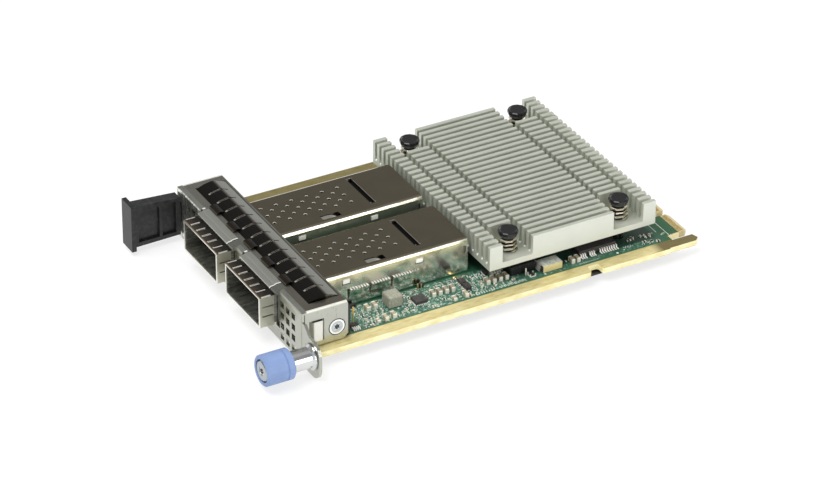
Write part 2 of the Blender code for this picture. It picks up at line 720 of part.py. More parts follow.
def build_finger_strip(card):
    """The arched contact strip in the flange window: slit into fingers and hooked over its front edge."""
    front = window_front
    arch = [(front + SHEET_GAP, face_top - 0.2 * MM), (front + 1.0 * MM, face_top + 0.35 * MM),
            (front + 2.4 * MM, face_top + 0.85 * MM), (finger_crest_y - 0.7 * MM, finger_crest_z - 0.06 * MM),
            (finger_crest_y, finger_crest_z), (finger_crest_y + 0.8 * MM, finger_crest_z - 0.14 * MM),
            (window_rear - SHEET_GAP, face_top - 0.05 * MM)]
    section = arch + [(y, z - finger_sheet) for y, z in reversed(arch)]
    length = finger_pitch * finger_count
    strip = plate("contact_finger_strip", [section], length, "YZ", (0.0, 0.0, 0.0), SPRING_STEEL, card)
    gable = arch + [(window_rear - SHEET_GAP, face_top - 0.2 * MM - finger_sheet),
                    (front + SHEET_GAP, face_top - 0.2 * MM - finger_sheet)]
    for side in (-1, 1):
        join(strip, add_prism(f"finger_gable_form_{side}", gable, finger_sheet, "YZ",
                              (side * (length / 2 - finger_sheet), 0.0, 0.0), card))
    hook = [(front + 1.2 * MM, face_top + 0.35 * MM), (front + 0.6 * MM, face_top + 0.6 * MM),
            (front, face_top + 0.68 * MM), (front - 0.55 * MM, face_top + 0.58 * MM),
            (front - finger_hook_reach, face_top + 0.33 * MM),
            (front - finger_hook_reach, face_top + SHEET_GAP),
            (front - 0.5 * MM, face_top + 0.37 * MM), (front, face_top + 0.46 * MM),
            (front + 0.5 * MM, face_top + 0.38 * MM), (front + 0.8 * MM, face_top + 0.15 * MM)]
    for k in range(5):
        join(strip, add_prism(f"finger_hook_form_{k}", hook, finger_hook_length, "YZ",
                              ((2 * k - 4) * finger_pitch, 0.0, 0.0), card))
    slits = []
    for k in range(1, finger_count):
        x = -length / 2 + k * finger_pitch
        slits.append(((x - finger_slit / 2, front + 1.9 * MM, face_top - MM),
                      (x + finger_slit / 2, window_rear - 1.7 * MM, finger_crest_z + MM)))
    cut(strip, add_cutter("finger_slit_cutter", boxes_mesh("finger_slit_cutter", slits), card))


def build_side_leaf(card):
    """The bent contact leaf behind the right side wall, which bulges out through the wall's window."""
    low, high = side_window_z
    front, rear = side_window_y
    inside = wall_inside - GAP
    crest = face_half + leaf_rise
    bend = [(inside, sheet + GAP), (inside, front + 0.15 * MM), (crest - 0.1 * MM, front + 1.05 * MM),
            (crest, front + 1.3 * MM), (crest, rear - 0.7 * MM), (crest - 0.35 * MM, rear - GAP)]
    section = bend + [(x - finger_sheet, y) for x, y in reversed(bend)]
    plate("side_contact_leaf", [section], high - low - 2 * GAP, "XY", (0.0, 0.0, (low + high) / 2),
          SPRING_STEEL, card)


def build_cage(card, word, centre):
    """A port's folded cage: a tube open at the front, its open top closed by a vented cover."""
    half = cage_width / 2
    tube = rounded(square(0.0, (cage_bottom + cage_top) / 2, cage_width, cage_height),
                   {2: cover_bend - cover_sheet, 3: cover_bend - cover_sheet}, 2)
    base = plate(f"cage_base_{word}", [tube], cage_length, "XZ", (centre, (cage_front + cage_rear) / 2, 0.0),
                 CAGE_STEEL, card)
    hollow = ((centre - half + cage_wall, cage_front - MM, cage_bottom + cage_wall),
              (centre + half - cage_wall, cage_rear - cage_wall, cage_top - cage_wall))
    cut(base, add_cutter(f"cage_hollow_{word}", boxes_mesh(f"cage_hollow_{word}", [hollow]), card))
    rim = cover_bend + cage_wall
    opening = ((centre - half + rim, cover_front + MM, cage_top - MM),
               (centre + half - rim, cage_rear - 2 * cage_wall, cage_top + MM))
    cut(base, add_cutter(f"cage_roof_{word}", boxes_mesh(f"cage_roof_{word}", [opening]), card))
    inset = 0.03 * MM
    latch_y = (cover_front + latch_inset[0], cage_rear - latch_inset[1])
    latch_z = cage_top - latch_drop
    skirts = []
    bumps = []
    for side in (-1, 1):
        face = centre + side * half
        x = sorted((face - side * inset, face - side * (cage_wall - inset)))
        skirts.append(((x[0], cage_skirt_front, SHEET_GAP),
                       (x[1], cage_rear - cage_wall, cage_bottom + cage_wall / 2)))
        x = sorted((face - side * cage_wall / 2, face + side * (SHEET_GAP + cover_sheet + 0.15 * MM)))
        for y in latch_y:
            bumps.append(((x[0], y - latch_size / 2, latch_z - latch_height / 2),
                          (x[1], y + latch_size / 2, latch_z + latch_height / 2)))
    join(base, add_cutter(f"cage_skirt_form_{word}", boxes_mesh(f"cage_skirt_form_{word}", skirts), card))
    join(base, add_cutter(f"latch_form_{word}", boxes_mesh(f"latch_form_{word}", bumps), card))

    inner = half + SHEET_GAP
    outer = inner + cover_sheet
    roof = cage_top + SHEET_GAP
    channel = [(-outer, GAP), (-inner, GAP), (-inner, roof), (inner, roof), (inner, GAP), (outer, GAP),
               (outer, roof_top), (-outer, roof_top)]
    channel = rounded(channel, {2: cover_bend - cover_sheet, 3: cover_bend - cover_sheet,
                                6: cover_bend, 7: cover_bend}, 2)
    length = cage_rear - cover_front
    cover = plate(f"cage_cover_{word}", [channel], length, "XZ", (centre, cover_front + length / 2, 0.0),
                  CAGE_STEEL, card)
    low, high = louvre_z
    slots = []
    for side in (-1, 1):
        face = side * (outer - 0.05 * MM)
        wedge = [(face, low), (face, high), (side * (outer + louvre_rise), high),
                 (side * (outer + louvre_rise), high - 0.25 * MM)]
        for k in range(louvre_count):
            y = louvre_first + k * louvre_pitch
            join(cover, add_prism(f"louvre_form_{word}_{k}_{side + 1}", wedge, louvre_length, "XZ",
                                  (centre, y, 0.0), card))
            start = y - louvre_length / 2
            x = sorted((centre + side * (inner - 0.05 * MM), centre + side * (outer + MM)))
            slots.append(((x[0], start - 0.1 * MM, low - 0.2 * MM),
                          (x[1], start + 0.45 * MM, high + 0.2 * MM)))

    bm = bmesh.new()
    first = vent_row_margin[0] - half
    row_pitch = (half - vent_row_margin[1] - first) / (vent_row_count - 1)
    rear_slot_y = cage_rear - rear_slot_inset
    vent_y_count = math.floor((rear_slot_y - rear_slot_width - vent_y_first) / vent_y_pitch) + 1
    for row in range(vent_row_count):
        shift = row % 2
        for k in range(vent_y_count - shift):
            place = Matrix.Translation((centre + first + row * row_pitch,
                                        vent_y_first + (k + shift / 2) * vent_y_pitch, roof))
            bmesh.ops.create_cone(bm, cap_ends=True, segments=6, radius1=vent_hole / 2, radius2=vent_hole / 2,
                                  depth=2 * MM, matrix=place)
    add_box_to(bm, (centre - half + rear_slot_margin[0], rear_slot_y - rear_slot_width / 2, roof - MM),
               (centre + half - rear_slot_margin[1], rear_slot_y + rear_slot_width / 2, roof + MM))
    lance_x = centre + half - lance_inset
    lance_rear = rear_slot_y - lance_gap
    add_box_to(bm, (lance_x - lance_width / 2, lance_rear - lance_length, roof - MM),
               (lance_x + lance_width / 2, lance_rear, roof + MM))
    play = 0.25 * MM
    for side in (-1, 1):
        x = sorted((centre + side * (half - MM), centre + side * (outer + MM)))
        for y in latch_y:
            add_box_to(bm, (x[0], y - latch_size / 2 - play, latch_z - latch_height / 2 - play),
                       (x[1], y + latch_size / 2 + play, latch_z + latch_height / 2 + play))
        add_box_to(bm, (x[0], cage_rear - 1.4 * MM, cage_top - 3.6 * MM),
                   (x[1], cage_rear - 0.6 * MM, cage_top - 1.6 * MM))
    for low_corner, high_corner in slots:
        add_box_to(bm, low_corner, high_corner)
    cut(cover, add_cutter(f"cover_holes_{word}", mesh_from(bm, f"cover_holes_{word}"), card))
    root = lance_rear - lance_length
    tip = root + lance_tongue
    tongue = [(root - 0.1 * MM, roof), (tip, roof - lance_drop), (tip, roof_top - lance_drop),
              (root - 0.1 * MM, roof_top)]
    join(cover, add_prism(f"lance_form_{word}", tongue, lance_width - 0.5 * MM, "YZ",
                          (lance_x, 0.0, 0.0), card))


def build_collar(card, word, centre):
    """The slit contact collar that wraps a port's mouth and touches the faceplate's cut-out."""
    inner_x = cage_width / 2 + SHEET_GAP
    inner_low = cage_bottom - SHEET_GAP
    inner_high = cage_top + SHEET_GAP
    outer_low = inner_low - collar_sheet
    outer_high = inner_high + collar_sheet
    front = cage_front - SHEET_GAP - collar_sheet
    rear = hood_front - SHEET_GAP
    collar = add_boxes(f"port_collar_{word}", [((centre - port_half, front, outer_low),
                                                (centre + port_half, rear, outer_high))], SPRING_STEEL, card)
    behind = ((centre - inner_x, cage_front - SHEET_GAP, inner_low),
              (centre + inner_x, rear + MM, inner_high))
    lip = collar_lip
    mouth = ((centre - cage_width / 2 + lip, front - MM, cage_bottom + lip),
             (centre + cage_width / 2 - lip, cage_front, cage_top - lip))
    cut(collar, add_cutter(f"collar_inside_{word}", boxes_mesh(f"collar_inside_{word}", [behind]), card))
    cut(collar, add_cutter(f"collar_mouth_{word}", boxes_mesh(f"collar_mouth_{word}", [mouth]), card))
    start = cage_front + collar_slit_margin[0]
    stop = rear - collar_slit_margin[1]
    slits = []
    for k in range(1, collar_fingers_wide):
        x = centre - cage_width / 2 + k * cage_width / collar_fingers_wide
        for z in (outer_low, outer_high):
            slits.append(((x - collar_slit / 2, start, z - 0.9 * MM),
                          (x + collar_slit / 2, stop, z + 0.9 * MM)))
    for k in range(1, collar_fingers_high):
        z = cage_bottom + k * cage_height / collar_fingers_high
        for x in (centre - port_half, centre + port_half):
            slits.append(((x - 0.9 * MM, start, z - collar_slit / 2),
                          (x + 0.9 * MM, stop, z + collar_slit / 2)))
    cut(collar, add_cutter(f"collar_slits_{word}", boxes_mesh(f"collar_slits_{word}", slits), card))


def build_socket(card, word, centre):
    """The edge-card socket at the back of a cage: a block with a slot for a module's edge."""
    floor = cage_bottom + cage_wall + GAP
    height = cage_height - 2 * cage_wall - socket_roof_room
    rear = cage_rear - cage_wall - GAP
    front = rear - socket_length
    slot = front + 0.3 * socket_length
    body = [(front, floor), (rear, floor), (rear, floor + height), (front, floor + height),
            (front, floor + 0.62 * height), (slot, floor + 0.62 * height),
            (slot, floor + 0.38 * height), (front, floor + 0.38 * height)]
    width = cage_width - 2 * cage_wall - 2 * socket_side_room
    plate(f"module_socket_{word}", [body], width, "YZ", (centre, 0.0, 0.0), BLACK_PLASTIC, card)


def build_heatsink(card):
    """An extruded comb of fins, cut across and pocketed for its four spring pins."""
    half = sink_width / 2
    pitch = (sink_width - fin_thickness) / (fin_count - 1)
    comb = [(-half, sink_bottom), (half, sink_bottom)]
    for k in reversed(range(fin_count)):
        x = -half + k * pitch
        comb += [(x + fin_thickness, sink_top), (x, sink_top)]
        if k:
            comb += [(x, sink_floor), (x - pitch + fin_thickness, sink_floor)]
    sink = plate("heatsink", [comb], sink_length, "XZ", (sink_x, sink_y, 0.0), ALUMINIUM, card)
    pocket_half = cap_radius + pocket_room
    cross = []
    pockets = []
    for y in pin_y:
        for shift in (-1, 1):
            middle = y + shift * (pocket_half - 0.45 * MM)
            cross.append(((sink_x - half - MM, middle - cross_cut_width / 2, sink_floor + 0.05 * MM),
                          (sink_x + half + MM, middle + cross_cut_width / 2, sink_top + MM)))
        for side in (-1, 1):
            x = sorted((sink_x + side * (half + MM),
                        sink_x + side * (pin_pitch_x / 2 - cap_radius - pocket_room)))
            pockets.append(((x[0], y - pocket_half, sink_floor - pocket_step),
                            (x[1], y + pocket_half, sink_top + MM)))
    cut(sink, add_cutter("cross_cutter", boxes_mesh("cross_cutter", cross), card))
    cut(sink, add_cutter("pocket_cutter", boxes_mesh("pocket_cutter", pockets), card))
    holes = [(x, y, sink_floor) for x, y, z in pin_places()]
    drills = cones_mesh("pin_hole_cutter", holes, shank_radius + GAP, 6 * MM, 10)
    cut(sink, add_cutter("pin_hole_cutter", drills, card))
    side = pedestal_size / 2
    foot = ((sink_x - side, sink_y - side, sink_bottom - pedestal_height),
            (sink_x + side, sink_y + side, sink_bottom + MM))
    join(sink, add_cutter("pedestal_form", boxes_mesh("pedestal_form", [foot]), card))


def build_chip(card):
    """The network chip: its carrier, its metal lid and the soft pad that meets the heatsink."""
    for name, size, low, height, material in (
            ("chip_carrier", chip_size, GAP, chip_height, CHIP),
            ("chip_lid", lid_size, 2 * GAP + chip_height, lid_height, STEEL),
            ("thermal_pad", lid_size, chip_top + GAP, pad_thickness, PAD_GREY)):
        half = size / 2
        add_boxes(name, [((sink_x - half, sink_y - half, low), (sink_x + half, sink_y + half, low + height))],
                  material, card)


def build_sink_pins(card):
    """Four push pins with split barbs, each on a coil spring that presses the heatsink down."""
    names = ("front_left", "rear_left", "front_right", "rear_right")
    under = cap_top - cap_height
    barb = -board_thickness - GAP
    tip = barb - barb_length
    edge = 0.2 * MM
    dish = cap_radius - 3 * edge
    step = sink_floor + GAP
    barb_radius = shank_radius + barb_step
    profile = [(0.0, cap_top - edge / 2), (dish, cap_top - edge / 2), (dish + edge, cap_top),
               (cap_radius - edge, cap_top), (cap_radius, cap_top - edge),
               (cap_radius, (cap_top + under) / 2),
               (cap_radius - cap_taper, under), (collar_radius, under), (collar_radius, step),
               (shank_radius, step), (shank_radius, barb), (barb_radius, barb), (barb_radius, barb - edge),
               (barb_radius / 2, tip), (0.0, tip)]
    for word, place in zip(names, pin_places()):
        axis = add_empty(f"heatsink_pin_axis_{word}", place, (0.0, 0.0, 0.0), card)
        pin = turned(f"heatsink_pin_{word}", profile, 12, BLACK_PLASTIC, axis)
        split = ((-barb_radius - MM, -barb_slot / 2, tip - MM), (barb_radius + MM, barb_slot / 2, MM))
        cut(pin, add_cutter(f"pin_split_{word}", boxes_mesh(f"pin_split_{word}", [split]), axis))
        coil(f"heatsink_spring_{word}", (spring_radius_bottom, spring_radius_top), spring_wire, spring_turns,
             sink_floor - pocket_step + spring_wire + SHEET_GAP, under - spring_wire - SHEET_GAP,
             SPRING_STEEL, axis)


def build_thumbscrew(card):
    """The captive screw: a riveted sleeve, and a knob and screw that slide and turn in it."""
    axis = add_empty("thumbscrew_axis", (screw_x, 0.0, screw_z), (math.pi / 2, 0.0, 0.0), card)
    back = -0.05 * MM - sheet
    flare = sleeve_flare
    lip = sleeve_reach - sleeve_lip_length
    profile = [(sleeve_radius, sleeve_reach), (sleeve_radius, flare + GAP),
               (sleeve_radius + flare, 0.5 * GAP + 0.3 * MM), (sleeve_radius + flare, 0.25 * GAP),
               (sleeve_radius, 0.25 * GAP), (sleeve_radius, back - 0.2 * MM), (sleeve_bore, back - 0.2 * MM),
               (sleeve_bore, lip), (sleeve_lip, lip), (sleeve_lip, sleeve_reach)]
    turned("thumbscrew_sleeve", profile, 20, STEEL, axis)

    rim = 0.4 * knob_wall
    groove_at = knob_back + 0.25 * knob_length
    groove = 0.25 * MM
    profile = [(head_radius + GAP, knob_front - 0.15 * MM), (head_radius + 1.6 * GAP, knob_front),
               (knob_radius - rim, knob_front), (knob_radius, knob_front - rim),
               (knob_radius, groove_at + 0.25 * MM), (knob_radius - groove, groove_at),
               (knob_radius, groove_at - 0.25 * MM), (knob_radius, knob_back + rim),
               (knob_radius - rim, knob_back), (knob_bore, knob_back), (knob_bore, knob_hollow),
               (thread_radius + SHEET_GAP, knob_hollow), (thread_radius + SHEET_GAP, head_seat),
               (head_radius + GAP, head_seat)]
    turned("thumbscrew_knob", profile, 24, BLUE_PLASTIC, axis)

    head_top = knob_front - 0.1 * MM
    recess = 0.8 * MM
    socket = 0.43 * head_radius
    tip = back - 0.4 * MM
    neck = thread_radius / 4
    edge = 0.25 * MM
    waist = (ring_at + ring_thickness + SHEET_GAP, ring_at - SHEET_GAP)
    profile = [(0.0, head_top - recess), (socket, head_top - recess), (socket, head_top),
               (head_radius - edge, head_top), (head_radius, head_top - edge),
               (head_radius, head_seat + SHEET_GAP), (thread_radius, head_seat + SHEET_GAP),
               (thread_radius, waist[0]), (thread_radius - neck, waist[0]), (thread_radius - neck, waist[1]),
               (thread_radius, waist[1]), (thread_radius, tip + neck),
               (thread_radius - neck, tip), (0.0, tip)]
    turned("thumbscrew_screw", profile, 16, STEEL, axis)

    ring_inner = thread_radius - neck + SHEET_GAP
    ring_outer = sleeve_bore - 0.1 * MM
    profile = [(ring_outer, ring_at + ring_thickness), (ring_outer, ring_at), (ring_inner, ring_at),
               (ring_inner, ring_at + ring_thickness)]
    turned("thumbscrew_ring", profile, 16, SPRING_STEEL, axis)
    mean = sleeve_radius - GAP
    coil("thumbscrew_spring", (mean, mean), thumb_spring_wire, thumb_spring_turns,
         sleeve_reach + thumb_spring_wire + SHEET_GAP, knob_hollow - thumb_spring_wire - SHEET_GAP,
         SPRING_STEEL, axis)


def build_blocks_and_screws(card):
    """A threaded block behind each side wall and the flat-head screw that draws the wall to it."""
    turn = Matrix.Rotation(math.pi / 2, 4, "Y")
    for side, word in ((-1, "left"), (1, "right")):
        spare = tab_tongue_thickness + GAP if side < 0 else 0.0
        near = side * (wall_inside - GAP - spare)
        far = near - side * block_width
        low = (min(near, far), side_screw_y - block_front_margin, GAP)
        high = (max(near, far), side_screw_y + block_rear_margin, face_top - sheet - block_drop)
        block = add_boxes(f"mounting_block_{word}", [(low, high)], BLACK_PLASTIC, card)
        bore = cones_mesh(f"block_bore_{word}", [((near + far) / 2, side_screw_y, side_screw_z)],
                          side_shank_radius + GAP / 2, block_width + 2 * MM, 12, turn)
        cut(block, add_cutter(f"block_bore_{word}", bore, card))
        axis = add_empty(f"side_screw_axis_{word}", (side * wall_inside, side_screw_y, side_screw_z),
                         (0.0, side * math.pi / 2, 0.0), card)
        top = sheet + 0.05 * MM
        socket = 0.43 * side_head_radius
        end = MM - block_width - spare
        edge = 0.15 * MM
        profile = [(0.0, top - 0.5 * MM), (socket, top - 0.5 * MM), (socket, top),
                   (side_head_radius - edge, top), (side_head_radius, top - edge),
                   (side_head_radius, SHEET_GAP), (side_shank_radius, SHEET_GAP),
                   (side_shank_radius, end), (0.0, end)]
        turned(f"side_screw_{word}", profile, 16, STEEL, axis)


def build_pull_tab(card):
    """The moulded pull tab: a recessed blade, an end plate and a tongue that the left screw holds."""
    plate_back = tab_plate_thickness - tab_reach
    blade = [(plate_back - MM / 2, tab_bottom), (-GAP, tab_bottom + 0.3 * MM), (-GAP, tab_top - tab_slope[1]),
             (plate_back - MM / 2, tab_top - tab_slope[0])]
    tab = plate("pull_tab", [blade], tab_thickness, "YZ", (tab_x, 0.0, 0.0), BLACK_PLASTIC, card)
    half = tab_plate_width / 2
    end = ((tab_x - half, -tab_reach, tab_bottom - 0.4 * MM), (tab_x + half, plate_back, tab_top + 0.1 * MM))
    join(tab, add_cutter("end_plate_form", boxes_mesh("end_plate_form", [end]), card))
    rear = side_screw_y + side_shank_radius + 1.15 * MM
    low = side_screw_z - tab_tongue_height / 2
    high = side_screw_z + tab_tongue_height / 2
    tongue = [(-MM, low), (rear, low), (rear, high), (-MM, high)]
    join(tab, add_prism("tongue_form", tongue, tab_tongue_thickness, "YZ", (tongue_x, 0.0, 0.0), card))
    hole = cones_mesh("tongue_hole_cutter", [(tongue_x, side_screw_y, side_screw_z)],
                      side_shank_radius + GAP / 2, 2 * tab_tongue_thickness, 12,
                      Matrix.Rotation(math.pi / 2, 4, "Y"))
    cut(tab, add_cutter("tongue_hole_cutter", hole, card))
    recesses = []
    front = plate_back + tab_border
    back = -GAP - tab_border
    middle = (front + back) / 2 + MM
    for start, stop in ((front, middle - tab_rib / 2), (middle + tab_rib / 2, back)):
        for side in (-1, 1):
            x = sorted((tab_x + side * tab_web / 2, tab_x + side * (tab_thickness / 2 + MM)))
            recesses.append(((x[0], start, tab_bottom + tab_border),
                             (x[1], stop, tab_top - tab_slope[1] - 0.7 * tab_border)))
    cut(tab, add_cutter("recess_cutter", boxes_mesh("recess_cutter", recesses), card))


def build_film(card):
    """The insulating film under the board and the push rivets that hold it."""
    outline = [(-film_half, film_front), (film_half, film_front),
               (film_half, film_rear), (-film_half, film_rear)]
    outline = rounded(outline, {k: film_corner for k in range(4)}, 2)
    low = -board_thickness - film_gap - film_thickness
    film = plate("insulator_film", [outline], film_thickness, "XY", (0.0, 0.0, low + film_thickness / 2),
                 FILM, card)
    pins = [(x, y, low) for x, y, z in pin_places()]
    rivets = [(x, y, low) for x, y in rivet_places]
    cut(film, add_cutter("film_pin_cutter", cones_mesh("film_pin_cutter", pins, cap_radius, MM, 12), card))
    cut(film, add_cutter("film_rivet_cutter", cones_mesh("film_rivet_cutter", rivets, rivet_shank + SHEET_GAP,
                                                         MM, 10), card))
    top = -board_thickness - SHEET_GAP
    under = low - SHEET_GAP
    profile = [(0.0, top), (rivet_shank, top), (rivet_shank, under), (rivet_radius, under),
               (rivet_radius, under - rivet_head), (0.0, under - rivet_head)]
    for k, (x, y) in enumerate(rivet_places):
        rivet = turned(f"film_rivet_{k + 1}", profile, 12, BLACK_PLASTIC, card)
        rivet.location = (x, y, 0.0)


def add_part(name, x, y, size, material, card):
    """A soldered part's closed body on the board, centred at x and y."""
    low = (x - size[0] / 2, y - size[1] / 2, SOLDER_GAP)
    high = (x + size[0] / 2, y + size[1] / 2, SOLDER_GAP + size[2])
    return add_boxes(name, [(low, high)], material, card)


def build_components(card):
    """The larger parts soldered along the board's right-hand strip."""
    strip = board_half - cage_side
    bevel(add_part("power_inductor", cage_side + inductor_share * strip, inductor_y,
                   (inductor_size, inductor_size, inductor_height), FERRITE, card), 0.25 * MM)
    table = [(name, cage_side + share * strip + x * MM, y * MM, size)
             for name, share, x, y, *size in side_parts]
    table += [(name, pin_x + x * MM, pin_y[0] + y * MM, size) for name, x, y, *size in pin_parts]
    for name, x, y, size in table:
        material = STEEL if name == "oscillator" else CHIP
        bevel(add_part(name, x, y, [value * MM for value in size], material, card), 0.12 * MM)
    places = [(cage_side + front_capacitor_share * strip, front_capacitor_y + k * front_capacitor_pitch)
              for k in range(capacitor_count)]
    x, y = middle_capacitor_offset
    places += [(pin_x + x, pin_y[0] + y + k * middle_capacitor_pitch) for k in range(capacitor_count)]
    places += [(pin_x + x, pin_y[0] + y) for x, y in rear_capacitor_offset]
    for k, (x, y) in enumerate(places):
        add_part(f"capacitor_{k + 1}", x, y, capacitor_size, CERAMIC, card)


def build_card():
    origin = ((ear_right - board_half) / 2, (arm_tip - tab_reach) / 2, ear_bottom)
    card = add_empty("card_frame", [-value for value in origin], (0.0, 0.0, 0.0), None)
    build_board(card)
    build_faceplate(card)
    build_finger_strip(card)
    build_side_leaf(card)
    for word, centre in zip(("left", "right"), port_centres):
        build_cage(card, word, centre)
        build_collar(card, word, centre)
        build_socket(card, word, centre)
    build_heatsink(card)
    build_chip(card)
    build_sink_pins(card)
    build_thumbscrew(card)
    build_blocks_and_screws(card)
    build_pull_tab(card)
    build_film(card)
    build_components(card)


build_card()
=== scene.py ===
import json
import math
import random

import bmesh
import bpy
from mathutils import Matrix, Vector

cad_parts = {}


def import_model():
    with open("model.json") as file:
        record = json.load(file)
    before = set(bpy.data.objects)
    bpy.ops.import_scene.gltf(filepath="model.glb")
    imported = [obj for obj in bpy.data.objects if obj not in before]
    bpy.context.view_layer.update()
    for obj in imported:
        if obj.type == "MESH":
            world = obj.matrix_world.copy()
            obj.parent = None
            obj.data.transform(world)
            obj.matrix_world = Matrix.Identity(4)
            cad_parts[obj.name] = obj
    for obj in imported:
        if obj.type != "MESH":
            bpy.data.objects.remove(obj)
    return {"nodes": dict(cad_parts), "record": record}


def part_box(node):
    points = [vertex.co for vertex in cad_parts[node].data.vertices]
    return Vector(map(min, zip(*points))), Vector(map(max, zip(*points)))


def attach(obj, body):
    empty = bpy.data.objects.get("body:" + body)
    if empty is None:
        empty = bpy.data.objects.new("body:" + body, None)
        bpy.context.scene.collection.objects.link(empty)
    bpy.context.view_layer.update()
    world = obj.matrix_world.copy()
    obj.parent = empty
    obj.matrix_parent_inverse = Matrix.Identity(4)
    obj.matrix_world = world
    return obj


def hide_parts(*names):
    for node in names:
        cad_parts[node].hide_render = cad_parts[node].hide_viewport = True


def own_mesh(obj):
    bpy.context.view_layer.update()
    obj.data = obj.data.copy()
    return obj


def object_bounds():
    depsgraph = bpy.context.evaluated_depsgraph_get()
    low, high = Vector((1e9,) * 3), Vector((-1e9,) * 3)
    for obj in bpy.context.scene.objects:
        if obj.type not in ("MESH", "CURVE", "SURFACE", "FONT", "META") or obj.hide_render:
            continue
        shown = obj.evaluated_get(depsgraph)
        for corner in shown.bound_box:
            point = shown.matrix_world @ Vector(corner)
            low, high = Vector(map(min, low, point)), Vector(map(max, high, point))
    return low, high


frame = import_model()
cad_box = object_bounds()
nodes = frame["nodes"]
rng = random.Random(7)

# Places and sizes are in mm in the card's own frame: x = 0 at the board's middle, y = 0 at the
# faceplate's front, z = 0 at the board's top. ORIGIN is the model's origin in that frame.
ORIGIN = Vector((3.15, 50.7, -4.3))
MM = 0.001

PORTS = (-11.2, 12.7)                    # the ports' middles
PORT_MIDDLE = sum(PORTS) / 2
PORT_PITCH = PORTS[1] - PORTS[0]
SIDE_SCREW_Y, SIDE_SCREW_Z = 9.97, 4.2
ARM_INNER = 34.55                        # the pointed arms' inner edges
TONGUE_END = 114.9
BOARD_UNDER = -1.6


def at(x, y, z):
    """A place on the card as a place in the scene."""
    return (Vector((x, y, z)) - ORIGIN) * MM


def card_box(node):
    """The corners of a CAD node's box on the card."""
    low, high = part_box(node)
    return Vector(low) / MM + ORIGIN, Vector(high) / MM + ORIGIN


